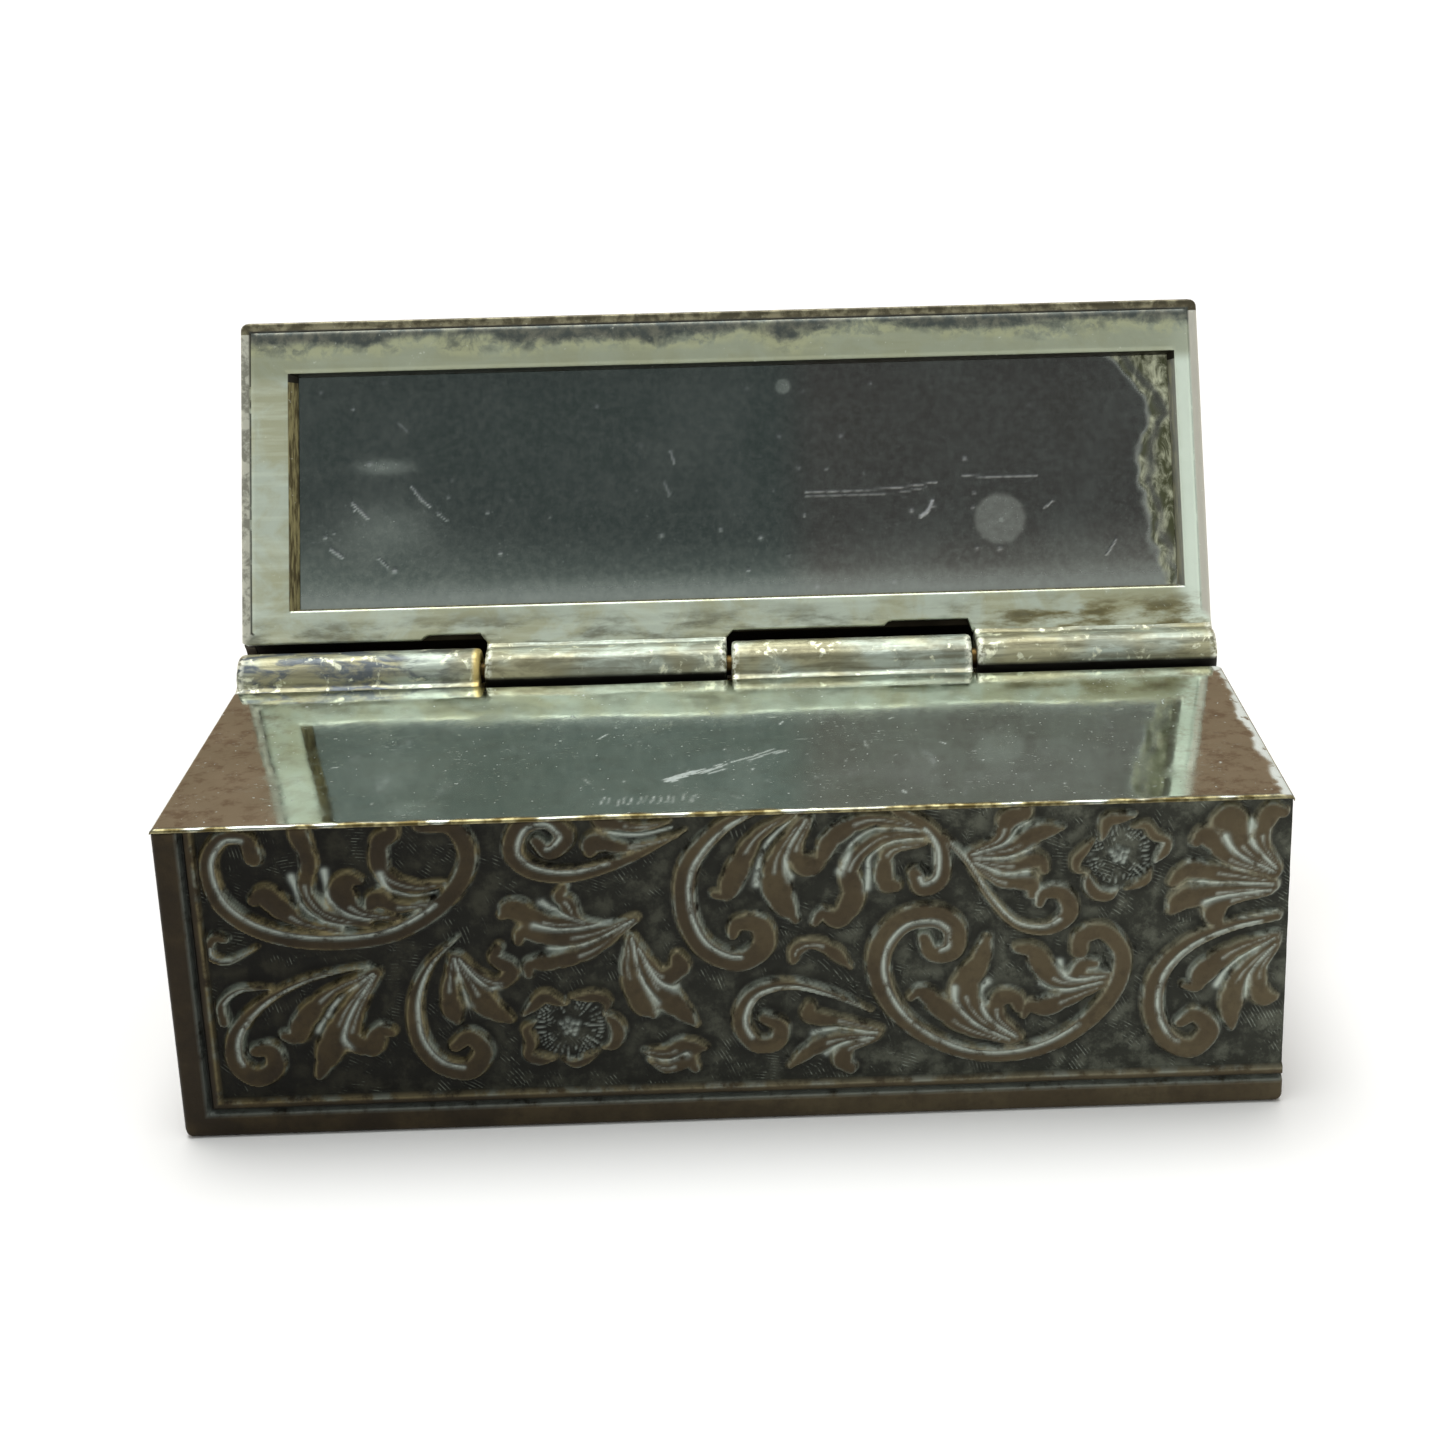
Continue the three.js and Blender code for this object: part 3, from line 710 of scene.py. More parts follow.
def chased_material():
    """Relief panels: dark hatched ground with painted shade beside raised shapes, brown raised metal, tan
    outlines, pale cut lines.
    """
    s = Shader("chased_metal")
    raised = s.attribute("raised")
    across = s.step(s.axis("X"), -0.026, 0.028)
    fine = s.noise(0.35, 4.0)
    grain = s.noise(0.12, 2.0)
    brown = tarnished_brown(s, across)
    hatch = s.math("SINE", s.times(s.attribute("hatch"), 2 * math.pi))
    on_ground = s.fade(raised, 0.0, 0.15)
    ground = s.mix(across, rgb(0.062, 0.060, 0.044), rgb(0.185, 0.190, 0.165))
    mottle = s.mix(across, rgb(0.145, 0.140, 0.105), rgb(0.370, 0.380, 0.335))
    ground = s.mix(s.times(s.step(s.noise(1.3, 5.0, 0.65), 0.42, 0.66), 0.8), ground, mottle)
    patchy = s.times(s.step(s.noise(1.4, 4.0), 0.50, 0.66), s.step(fine, 0.42, 0.66))
    tick = s.times(s.times(s.step(hatch, 0.2, 0.9), on_ground), patchy)
    ground = s.mix(s.times(tick, 0.55), ground, s.mix(across, rgb(0.42, 0.44, 0.40), rgb(0.62, 0.65, 0.60)))
    color = s.mix(raised, ground, brown)
    # Painted shade, laid on the ground beside the raised shapes.
    shadow = s.mix(across, rgb(0.05, 0.045, 0.035), rgb(0.12, 0.12, 0.105))
    color = s.mix(s.times(s.attribute("crevice"), 0.6), color, shadow)
    outline = s.times(s.attribute("rim"), s.step(s.noise(0.9, 5.0, 0.65), 0.32, 0.56))
    tan = s.mix(across, rgb(0.50, 0.46, 0.33), rgb(0.58, 0.57, 0.48))
    grey = s.mix(across, rgb(0.54, 0.57, 0.52), rgb(0.68, 0.71, 0.66))
    tan = s.mix(s.step(s.noise(2.2, 4.0, 0.6), 0.48, 0.58), tan, grey)
    color = s.mix(s.times(outline, 0.9), color, tan)
    worn = s.step(s.noise(1.1, 5.0, 0.65), 0.30, 0.54)
    silver = s.mix(across, rgb(0.60, 0.635, 0.605), rgb(0.73, 0.77, 0.73))
    color = s.mix(s.times(s.times(s.attribute("line"), worn), 0.95), color, silver)
    height = s.plus(s.plus(s.times(grain, 0.35), s.times(fine, 0.6)), s.times(tick, 0.5))
    s.bump(height, 0.045, 0.7)
    return s.finish(color, s.plus(s.times(fine, 0.25), 0.36), 0.8)


def plain_brown_material():
    """The same metal where it was left plain, with long scuffs."""
    s = Shader("plain_brown")
    color = tarnished_brown(s, s.step(s.axis("X"), -0.026, 0.028))
    scuffs = s.most(s.lines(6.0, 0.06, (0, 0, 0.3), 0.33), s.lines(3.0, 0.05, (0, 0, -1.1), 0.32))
    color = s.mix(s.times(scuffs, 0.5), color, rgb(0.66, 0.62, 0.52))
    fine = s.noise(0.3, 4.0)
    s.bump(s.plus(fine, s.times(scuffs, -0.8)), 0.03, 0.6)
    return s.finish(color, s.plus(s.times(fine, 0.25), 0.34), 0.82)


def plate_material():
    """Polished silver with small white marks, stains, a brassy rubbed front edge with painted glints, and a
    painted glare along the right end.
    """
    s = Shader("polished_plate")
    haze = s.noise(1.8, 5.0, 0.65)
    color = s.mix(s.step(s.noise(7.0, 5.0), 0.35, 0.65), rgb(0.80, 0.83, 0.79), rgb(0.73, 0.76, 0.71))
    ends = s.step(s.math("ABSOLUTE", s.axis("X")), 0.0215, 0.0255)
    stain = s.times(s.step(s.noise(1.1, 6.0, 0.7), 0.46, 0.66), s.plus(s.times(ends, 0.4), 0.15))
    color = s.mix(stain, color, rgb(0.50, 0.42, 0.34))
    speck = s.step(s.noise(0.26, 1.0), 0.73, 0.77)
    nicks = s.most(s.lines(0.55, 0.06, (0, 0, 0.8), 0.30), s.lines(0.40, 0.06, (0, 0, -0.6), 0.29))
    nicks = s.times(nicks, s.step(s.noise(2.6, 3.0), 0.50, 0.60))
    marks = s.most(s.attribute("scratch"), s.times(s.most(speck, nicks), 0.55))
    color = s.mix(marks, color, rgb(0.80, 0.84, 0.83))
    # A pale, dull, ragged strip along the plate's right end: painted glare.
    worn = s.times(s.attribute("worn"), s.step(s.noise(0.7, 4.0), 0.28, 0.44))
    color = s.mix(worn, color, rgb(0.84, 0.87, 0.85))
    # Brass of the rubbed front edge, with lighter dashes that are painted glints.
    brass_and_glints = s.mix(s.step(s.noise(0.6, 4.0), 0.42, 0.66), rgb(0.34, 0.30, 0.18), rgb(0.60, 0.57, 0.42))
    brass = s.attribute("brass")
    color = s.mix(brass, color, brass_and_glints)
    dull = s.most(marks, worn)
    rough = s.plus(s.times(s.step(haze, 0.4, 0.75), 0.10), 0.06)
    rough = s.plus(rough, s.times(s.most(dull, brass), 0.34))
    s.bump(s.plus(s.times(haze, 0.6), s.times(marks, -0.6)), 0.010, 0.6)
    return s.finish(color, rough, s.rest(s.times(dull, 0.75)))


def frame_material():
    """The mirror frame: pale green-grey silver, blue-black tarnish along the top, brown rim, and a painted
    shadow on the top inner wall.
    """
    s = Shader("frame_silver")
    blotch = s.noise(3.2, 5.0, 0.62, 0.6)
    small = s.noise(0.9, 5.0, 0.65, 0.3)
    fine = s.noise(0.3, 4.0)
    at_right = s.step(s.axis("X"), 0.0262, 0.0275)
    at_left = s.fade(s.axis("X"), -0.0285, -0.0262)
    streak = s.noise(detail=3.0, vector=s.stretched(7.0, 0.7, 0.7))
    color = s.mix(s.step(blotch, 0.40, 0.62), rgb(0.75, 0.79, 0.73), rgb(0.70, 0.71, 0.60))
    color = s.mix(s.times(s.step(streak, 0.46, 0.68), 0.35), color, rgb(0.88, 0.92, 0.85))
    color = s.mix(at_right, color, rgb(0.90, 0.95, 0.89))
    olive = s.step(s.plus(s.axis("X"), s.times(blotch, 0.010)), 0.016, 0.024)
    low = s.attribute("hinge_side")
    smear = s.noise(detail=5.0, rough=0.62, vector=s.stretched(3.6, 1.0, 1.0))
    color = s.mix(s.times(s.times(olive, low), s.step(smear, 0.36, 0.60)), color, rgb(0.50, 0.46, 0.27))
    rust = s.times(s.step(smear, 0.44, 0.66), low)
    color = s.mix(s.times(rust, 0.75), color, rgb(0.38, 0.375, 0.30))
    wander = s.noise(detail=3.0, rough=0.6, distortion=0.3, vector=s.stretched(7.0, 2.5, 2.5))
    from_top = s.attribute("from_top")
    upper = s.fade(from_top, 3.0, 3.9)
    color = s.mix(s.times(upper, 0.75), color, rgb(0.60, 0.62, 0.52))
    shifted = s.plus(from_top, s.times(s.math("SUBTRACT", wander, 0.5), 3.0))
    shifted = s.plus(shifted, s.times(s.math("SUBTRACT", small, 0.5), 1.2))
    band = s.fade(shifted, 1.05, 1.95)
    fringe = s.times(s.step(shifted, 1.3, 1.7), s.fade(shifted, 1.8, 2.4))
    fringe = s.times(s.times(fringe, s.step(small, 0.44, 0.56)), 0.55)
    color = s.mix(fringe, color, rgb(0.75, 0.76, 0.60))
    tarnish = s.mix(s.step(small, 0.38, 0.64), rgb(0.22, 0.25, 0.26), rgb(0.42, 0.42, 0.38))
    color = s.mix(s.times(band, 0.9), color, tarnish)
    dark_strip = s.mix(at_left, rgb(0.50, 0.46, 0.40), rgb(0.55, 0.55, 0.50))
    strip = s.mix(s.step(small, 0.42, 0.58), dark_strip, rgb(0.78, 0.78, 0.72))
    strip = s.mix(at_right, strip, rgb(0.80, 0.79, 0.74))
    top_strip = s.mix(s.step(small, 0.40, 0.62), rgb(0.30, 0.28, 0.21), rgb(0.52, 0.50, 0.40))
    strip = s.mix(s.math("LESS_THAN", from_top, 0.7), strip, top_strip)
    color = s.mix(s.attribute("strip"), color, strip)
    seam = s.times(s.attribute("seam"), s.step(small, 0.34, 0.48))
    color = s.mix(s.times(seam, s.rest(s.times(at_right, 0.8))), color, rgb(0.17, 0.15, 0.12))
    wall_streak = s.noise(detail=4.0, vector=s.stretched(0.12, 1.2, 1.2))
    wall = s.mix(s.step(wall_streak, 0.38, 0.64), rgb(0.30, 0.27, 0.17), rgb(0.56, 0.53, 0.37))
    wall = s.mix(at_right, wall, rgb(0.66, 0.68, 0.66))
    # The top inner wall is painted near-black: a painted shadow under the frame's top edge.
    wall = s.mix(s.math("LESS_THAN", from_top, 3.6), wall, rgb(0.13, 0.12, 0.08))
    color = s.mix(s.attribute("wall"), color, wall)
    color = s.mix(s.times(s.step(fine, 0.66, 0.78), 0.5), color, rgb(0.88, 0.90, 0.84))
    s.bump(s.plus(s.plus(blotch, s.times(small, 0.8)), s.times(fine, 0.3)), 0.035, 0.6)
    return s.finish(color, s.plus(s.times(fine, 0.25), 0.26), 0.6)


def mirror_material():
    """Old silvered glass: dark, hazy in patches and with a painted pale reflection low down, foxing at one
    end and a few scratches.
    """
    s = Shader("old_mirror")
    cloud = s.noise(5.0, 5.0, 0.6)
    fine = s.noise(0.20, 3.0, 0.7)
    across = s.step(s.axis("X"), 0.0025, 0.0060)
    color = s.mix(across, rgb(0.42, 0.465, 0.45), rgb(0.455, 0.45, 0.435))
    color = s.mix(s.times(s.step(cloud, 0.42, 0.70), 0.30), color, rgb(0.60, 0.63, 0.61))
    grain = s.step(s.noise(0.45, 5.0, 0.7), 0.35, 0.70)
    color = s.mix(s.times(grain, 0.30), color, rgb(0.66, 0.69, 0.66))
    speck = s.times(s.step(fine, 0.60, 0.80), 0.35)
    haze = s.times(s.attribute("haze"), s.plus(s.times(s.noise(0.9, 4.0), 0.5), 0.75))
    fox = s.attribute("fox")
    mottle = s.noise(detail=5.0, rough=0.65, distortion=0.5, vector=s.stretched(0.7, 1.3, 1.3))
    fox_color = s.mix(s.step(mottle, 0.40, 0.66), rgb(0.33, 0.34, 0.25), rgb(0.82, 0.83, 0.72))
    scratch = s.attribute("scratch")
    color = s.mix(speck, color, rgb(0.72, 0.75, 0.74))
    # Pale where the glass is hazy, and in a band low on the glass that is a painted reflection.
    color = s.mix(s.times(haze, 0.68), color, rgb(0.66, 0.69, 0.67))
    color = s.mix(fox, color, fox_color)
    color = s.mix(scratch, color, rgb(0.92, 0.93, 0.95))
    rough = s.plus(s.times(s.most(haze, s.most(fox, scratch)), 0.42), 0.05)
    rough = s.plus(rough, s.times(speck, 0.5))
    s.bump(s.plus(scratch, s.times(fox, s.noise(0.5, 4.0))), 0.02, 0.5)
    return s.finish(color, rough, 0.94)


def hinge_material():
    """Knuckles: greenish silver drawn lengthwise, soft blue-black and brown mottling, painted glints at the
    rims and painted shade under the lid's barrels.
    """
    s = Shader("hinge_silver")
    blotch = s.noise(detail=5.0, rough=0.6, distortion=0.5, vector=s.stretched(2.2, 0.9, 0.9))
    streak = s.noise(detail=4.0, distortion=0.3, vector=s.stretched(5.0, 0.35, 0.35))
    fine = s.noise(0.3, 3.0)
    color = s.mix(s.step(s.noise(5.0, 3.0), 0.40, 0.60), rgb(0.66, 0.70, 0.65), rgb(0.63, 0.62, 0.50))
    color = s.mix(s.times(s.step(streak, 0.44, 0.66), 0.6), color, rgb(0.40, 0.39, 0.31))
    near_left = s.fade(s.axis("X"), -0.020, -0.013)
    tint = s.mix(near_left, rgb(0.33, 0.31, 0.21), rgb(0.30, 0.335, 0.375))
    dark = s.times(s.step(blotch, 0.40, 0.58), s.plus(s.times(near_left, 0.45), 0.45))
    color = s.mix(dark, color, tint)
    bright = s.step(s.noise(0.9, 4.0, 0.6, 0.4), 0.58, 0.68)
    color = s.mix(s.times(bright, 0.75), color, rgb(0.90, 0.91, 0.80))
    # Painted glints at the ends of the barrels.
    color = s.mix(s.times(s.attribute("rim"), s.step(fine, 0.40, 0.56)), color, rgb(0.92, 0.93, 0.86))
    color = s.mix(s.attribute("gold"), color, rgb(0.80, 0.72, 0.46))
    # Painted shade: the underside of each lid knuckle is painted near-black.
    color = s.mix(s.attribute("under"), color, rgb(0.10, 0.09, 0.07))
    s.bump(s.plus(s.plus(streak, blotch), s.times(fine, 0.4)), 0.035, 0.7)
    return s.finish(color, s.plus(s.times(fine, 0.28), 0.32), 0.62)


def worn_metal(name, light, dark, grain_mm, roughness):
    """A plain metal with cloudy tone, drawn grain and small pits."""
    s = Shader(name)
    grain = s.noise(detail=3.0, vector=s.stretched(7.0, grain_mm, grain_mm))
    fine = s.noise(0.3, 3.0)
    color = s.mix(s.step(s.noise(5.0, 4.0), 0.35, 0.65), light, dark)
    color = s.mix(s.times(s.step(fine, 0.6, 0.78), 0.5), color, dark)
    s.bump(s.plus(grain, fine), 0.02, 0.5)
    return s.finish(color, s.plus(s.times(grain, 0.22), roughness), 0.95)


def card_material():
    """Fibrous brown card."""
    s = Shader("backing_card")
    fibre = s.noise(0.4, 5.0, 0.7)
    s.bump(fibre, 0.05, 0.5)
    color = s.mix(fibre, rgb(0.40, 0.33, 0.24), rgb(0.50, 0.42, 0.31))
    return s.finish(color, s.plus(s.times(fibre, 0.1), 0.88), 0.0)


def floor_material():
    """A near-white floor, faintly uneven in tone."""
    s = Shader("pale_floor")
    tone = s.noise(40.0, 2.0)
    return s.finish(s.mix(tone, rgb(0.965, 0.965, 0.96), rgb(0.975, 0.975, 0.97)), 0.9, 0.0)


# ---------------------------------------------------------------- camera, light and floor

CAMERA_AZIMUTH = math.radians(1.28)
CAMERA_ELEVATION = math.radians(17.2)
CAMERA_ROLL = math.radians(-1.26)
CAMERA_FROM_CORNER = Vector((31.4, -103.1, 63.1)) * MM    # from the case's front lower left corner
CAMERA_LENS = 56.1
CAMERA_SHIFT = (-0.070, -0.123)


def add_camera():
    """The camera, just right of the middle and above, turned a little about its own axis."""
    camera = bpy.data.cameras.new("photo_camera")
    camera.lens = CAMERA_LENS
    camera.sensor_width = 36
    camera.shift_x, camera.shift_y = CAMERA_SHIFT
    camera.clip_start = 0.005
    camera.clip_end = 20
    holder = bpy.data.objects.new("photo_camera", camera)
    az, el, roll = CAMERA_AZIMUTH, CAMERA_ELEVATION, CAMERA_ROLL
    forward = Vector((math.sin(az) * math.cos(el), math.cos(az) * math.cos(el), -math.sin(el)))
    right = Vector((math.cos(az), -math.sin(az), 0))
    up = right.cross(forward)
    rolled_right = right * math.cos(roll) + up * math.sin(roll)
    rolled_up = up * math.cos(roll) - right * math.sin(roll)
    place = Matrix((rolled_right, rolled_up, -forward)).transposed().to_4x4()
    place.translation = FRONT_LOW + CAMERA_FROM_CORNER
    holder.matrix_world = place
    bpy.context.scene.collection.objects.link(holder)
    bpy.context.scene.camera = holder


def add_soft_light():
    """A wide overhead source, a little to the rear."""
    light = bpy.data.lights.new("softbox", "SUN")
    light.energy = 2.0
    light.angle = math.radians(34)
    holder = bpy.data.objects.new("softbox", light)
    holder.rotation_euler = (math.radians(-8), math.radians(-5), 0)
    bpy.context.scene.collection.objects.link(holder)


def add_world():
    """Studio surround: bright low in front and overhead, dim at middle heights, brown behind.

    Each stop is (sine of the elevation, linear colour)."""
    world = bpy.data.worlds.new("studio")
    bpy.context.scene.world = world
    world.use_nodes = True
    tree = world.node_tree
    background = tree.nodes["Background"]
    direction = tree.nodes.new("ShaderNodeTexCoord").outputs["Generated"]
    split = tree.nodes.new("ShaderNodeSeparateXYZ")
    tree.links.new(direction, split.inputs[0])

    def ramp(stops):
        made = tree.nodes.new("ShaderNodeValToRGB")
        tree.links.new(split.outputs["Z"], made.inputs[0])
        elements = made.color_ramp.elements
        while len(elements) < len(stops):
            elements.new(0.5)
        for element, (position, color) in zip(elements, stops):
            element.position = position
            element.color = (*color, 1)
        return made.outputs[0]

    front = ramp([(0.00, (0.86, 0.86, 0.85)), (0.44, (0.92, 0.93, 0.88)), (0.485, (0.19, 0.20, 0.20)),
                  (0.60, (0.19, 0.20, 0.20)), (0.84, (0.58, 0.62, 0.63)), (0.96, (1.1, 1.1, 1.1))])
    back = ramp([(0.00, (0.80, 0.80, 0.79)), (0.08, (0.38, 0.27, 0.185)), (0.50, (0.34, 0.24, 0.17)),
                 (0.75, (0.60, 0.60, 0.57)), (0.96, (1.1, 1.1, 1.1))])
    side = tree.nodes.new("ShaderNodeMapRange")
    side.interpolation_type = "SMOOTHSTEP"
    tree.links.new(split.outputs["Y"], side.inputs["Value"])
    side.inputs["From Min"].default_value = -0.25
    side.inputs["From Max"].default_value = 0.25
    both = tree.nodes.new("ShaderNodeMix")
    both.data_type = "RGBA"
    tree.links.new(side.outputs["Result"], both.inputs["Factor"])
    tree.links.new(front, both.inputs[6])
    tree.links.new(back, both.inputs[7])
    tree.links.new(both.outputs[2], background.inputs["Color"])
    background.inputs["Strength"].default_value = 1.0


FLOOR_HALF = 3.0          # metres


def add_floor():
    """A wide plain floor under the box."""
    signs = ((-1, -1), (1, -1), (1, 1), (-1, 1))
    places = [(x * FLOOR_HALF, y * FLOOR_HALF, 0) for x, y in signs]
    floor = new_object("floor", places, [(0, 1, 2, 3)], False)
    floor.data.materials.append(floor_material())


# ---------------------------------------------------------------- giving pieces their place


def dress(piece, body, node, material):
    """Gives a piece its material, hangs it on the body it rides on, and hides the node it stands for."""
    piece.data.materials.clear()
    piece.data.materials.append(material)
    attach(piece, body)
    if node:
        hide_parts(node)


def soften_edges(piece, width_mm):
    """Rounds a piece's sharp edges."""
    bevel = piece.modifiers.new("bevel", "BEVEL")
    bevel.width = width_mm * MM
    bevel.segments = 2
    bevel.limit_method = "ANGLE"
    bevel.angle_limit = math.radians(35)


def keep_node(node, width_mm, material):
    """A CAD node kept as it is, with softened edges and a material."""
    piece = frame["nodes"][node]
    weld = piece.modifiers.new("weld", "WELD")
    weld.merge_threshold = 1e-6
    soften_edges(piece, width_mm)
    piece.data.materials.clear()
    piece.data.materials.append(material)


# ---------------------------------------------------------------- chased panels of the case


def front_panel(material):
    """The front, with its border at the left and below."""
    height = (FRONT_HIGH.z - FRONT_LOW.z) / MM
    relief = Relief(CASE_LENGTH / MM, height)
    draw_ornament(relief, lambda x, z: (x + DRAWING_SHIFT - DRAWING_LEAN * z, z))
    relief.border(left=BORDER_WIDTH, bottom=BORDER_WIDTH)
    relief.finish(3)
    piece = relief_panel("chased_front", relief, FRONT_LOW, (1, 0, 0), (0, 0, 1), PANEL_SHEET,
                         (0.3, 0.3, 0.12, 0.04), corner=0.5)
    dress(piece, "case", "front_panel", material)


def back_panel(material):
    """The same design turned round, under the hinge strip."""
    width = (BACK_HIGH.x - BACK_LOW.x) / MM
    height = (BACK_HIGH.z - BACK_LOW.z) / MM
    relief = Relief(width, height, 0.11)
    draw_ornament(relief, lambda x, z: (width - x + 0.5, z * 0.92), 0.95, -1)
    relief.border(left=BORDER_WIDTH, bottom=BORDER_WIDTH, right=BORDER_WIDTH)
    relief.finish(4)
    origin = Vector((BACK_HIGH.x, BACK_HIGH.y, BACK_LOW.z))
    piece = relief_panel("chased_back", relief, origin, (-1, 0, 0), (0, 0, 1), PANEL_SHEET,
                         (0.12, 0.4, 0.1, 0.05))
    dress(piece, "case", "back_panel", material)


def left_end(material):
    """The closed end, hollowed at its rear top corner where the knuckle passes."""
    width = (END_HIGH.y - END_LOW.y) / MM
    height = (END_HIGH.z - END_LOW.z) / MM
    relief = Relief(width, height)
    draw_ornament(relief, lambda x, z: (x - 35.2, z))
    relief.border(left=BORDER_WIDTH, bottom=BORDER_WIDTH, right=BORDER_WIDTH)
    relief.finish(5)

    def top_of(x):
        away = np.clip((END_HIGH.y - HINGE_POINT.y) / MM - x, -GROOVE_RADIUS / MM, GROOVE_RADIUS / MM)
        hollow = HINGE_POINT.z / MM - np.sqrt(np.maximum((GROOVE_RADIUS / MM) ** 2 - away**2, 0))
        return np.minimum(hollow, height) / height

    origin = Vector((END_LOW.x, END_HIGH.y, END_LOW.z))
    piece = relief_panel("chased_end", relief, origin, (0, -1, 0), (0, 0, 1), PANEL_SHEET,
                         (0.3, 0.3, 0.1, 0.04), top_of=top_of)
    dress(piece, "case", "left_end_panel", material)


NICK_LENGTH = 9.0
NICK_RADIUS = 1.5
NICK_DEPTH = 0.45
MOUTH_CLEARANCE = 0.15


def tray_end(material):
    """The tray's outer end, stepped round the hinge strip, with a nail nick."""
    width = (MOUTH_HIGH.y - MOUTH_LOW.y) / MM
    height = (MOUTH_HIGH.z - MOUTH_LOW.z) / MM
    strip_low = corners("case_bearer")[0]
    step_x = (strip_low.y - MOUTH_LOW.y) / MM - MOUTH_CLEARANCE
    low_share = ((strip_low.z - MOUTH_LOW.z) / MM - MOUTH_CLEARANCE) / height
    relief = Relief(width, height)
    draw_ornament(relief, lambda x, z: (x - 18.5, z - 1.0))
    nick_x = step_x / 2
    nick_z = MOUTH_HIGH.z / MM * 0.75 - MOUTH_LOW.z / MM
    across = np.abs(relief.x - nick_x) - NICK_LENGTH / 2
    rise = np.abs(relief.z - nick_z)
    clear = smooth(np.maximum(across, rise - 1.6), 0.0, 0.5)
    relief.inside = np.where(clear < 1, 1.0, relief.inside)
    relief.sag = relief.sag * clear
    relief.cut = relief.cut * clear
    relief.extra = relief.extra * clear
    relief.border(left=1.5, bottom=1.5, right=1.5)
    relief.finish(6)
    round_cut = np.sqrt(np.maximum(NICK_RADIUS**2 - rise**2, 0)) - (NICK_RADIUS - NICK_DEPTH)
    relief.depth = np.minimum(relief.depth, -np.maximum(round_cut, 0) * fade(across, -0.25, 0))
    piece = relief_panel("chased_tray_end", relief, (MOUTH_HIGH.x, MOUTH_LOW.y, MOUTH_LOW.z),
                         (0, 1, 0), (0, 0, 1), MOUTH_HIGH.x - MOUTH_LOW.x, (0.15, 0.15, 0.15, 0.15),
                         top_of=lambda x: np.where(x > step_x, low_share, 1.0))
    dress(piece, "tray", "tray_end_plate", material)


# ---------------------------------------------------------------- hinge knuckles

KNUCKLE_COUNT = 4
KNUCKLE_GAP = 0.3
KNUCKLE_LOW, KNUCKLE_HIGH = corners("case_knuckle_left")
BARREL_RADIUS = (KNUCKLE_HIGH.z - HINGE_POINT.z) / MM
FOOT_RADIUS = (HINGE_POINT.z - KNUCKLE_LOW.z) / MM
CASE_FOOT = (182, 292)         # degrees about the axis from the rear
LID_FOOT = (68, 178)
BORE_RADIUS = 0.66
UNDERSIDE = 220                # direction of a barrel's underside, painted dark as shade, in the same degrees
UNDERSIDE_REACH = 50           # and how far it spreads to each side
KNUCKLE_LENGTH = (CASE_LENGTH / MM - (KNUCKLE_COUNT - 1) * KNUCKLE_GAP) / KNUCKLE_COUNT


def knuckle_start(index):
    """X of a knuckle's left end, in mm."""
    return LEFT / MM + index * (KNUCKLE_LENGTH + KNUCKLE_GAP)


def knuckle(name, index, body, node, material):
    """A rolled barrel with a foot in its groove, slightly dented and with rounded rims."""
    on_lid = body == "lid"
    foot_start, foot_end = LID_FOOT if on_lid else CASE_FOOT
    x0 = knuckle_start(index)
    x1 = x0 + KNUCKLE_LENGTH
    rim = [(0.0, 0.24), (0.03, 0.12), (0.10, 0.04), (0.26, 0.0)]
    along = np.linspace(x0 + 0.5, x1 - 0.5, 52)
    xs = np.array([x0, *[x0 + d for d, _ in rim], *along, *[x1 - d for d, _ in rim[::-1]], x1])
    fall = np.array([0, *[f for _, f in rim], *(along * 0), *[f for _, f in rim[::-1]], 0])
    angle = np.radians(np.arange(0, 360, 4.0))
    degrees = np.degrees(angle)
    foot = smooth(degrees, foot_start, foot_start + 6) * fade(degrees, foot_end - 6, foot_end)
    rng = np.random.default_rng(20 + index)
    shape = (len(xs), len(angle))
    dents = blurred_noise(rng, shape, 7) * 0.03 + blurred_noise(rng, shape, 3) * 0.010
    facets = 0.018 * (1 + np.cos(8 * angle + index))
    radius = BARREL_RADIUS - facets[None] - np.abs(dents) - fall[:, None]
    radius = radius * (1 - foot) + (FOOT_RADIUS - fall[:, None] * 0.5) * foot
    radius[0] = radius[-1] = BORE_RADIUS
    points = np.stack([np.broadcast_to(xs[:, None], radius.shape), radius * np.cos(angle),
                       radius * np.sin(angle)], -1).reshape(-1, 3) * MM
    points = opened(points) if on_lid else points + np.array(HINGE_POINT)
    piece = new_object(name, points, ring_faces(len(xs), len(angle)))
    tidy_normals(piece)
    from_end = np.minimum(xs - x0, x1 - xs)
    # Pale ends of each barrel: painted glints.
    rims = fade(from_end, 0.15, 0.45)[:, None] + 0 * radius
    gold = (smooth(xs, x1 - 0.38, x1 - 0.25) * (index == 0))[:, None] + 0 * radius
    turned = degrees - (math.degrees(OPEN_ANGLE) if on_lid else 0)
    away = np.abs((turned - UNDERSIDE + 180) % 360 - 180)
    # On the lid's knuckles the underside is painted dark: painted shade over the gap above the plate.
    below = fade(away, UNDERSIDE_REACH - 8, UNDERSIDE_REACH) * on_lid
    add_attribute(piece, "rim", rims, 0)
    add_attribute(piece, "gold", gold, 0)
    add_attribute(piece, "under", below[None] + 0 * radius, 0)
    dress(piece, body, node, material)


# ---------------------------------------------------------------- top plate

SEAT_GAP = 0.05                # between pieces that fit into each other, mm
PLATE_PITCH = 0.125
PLATE_NOTCH = 0.2              # how far the plate's rear edge stands back from the lid's knuckles


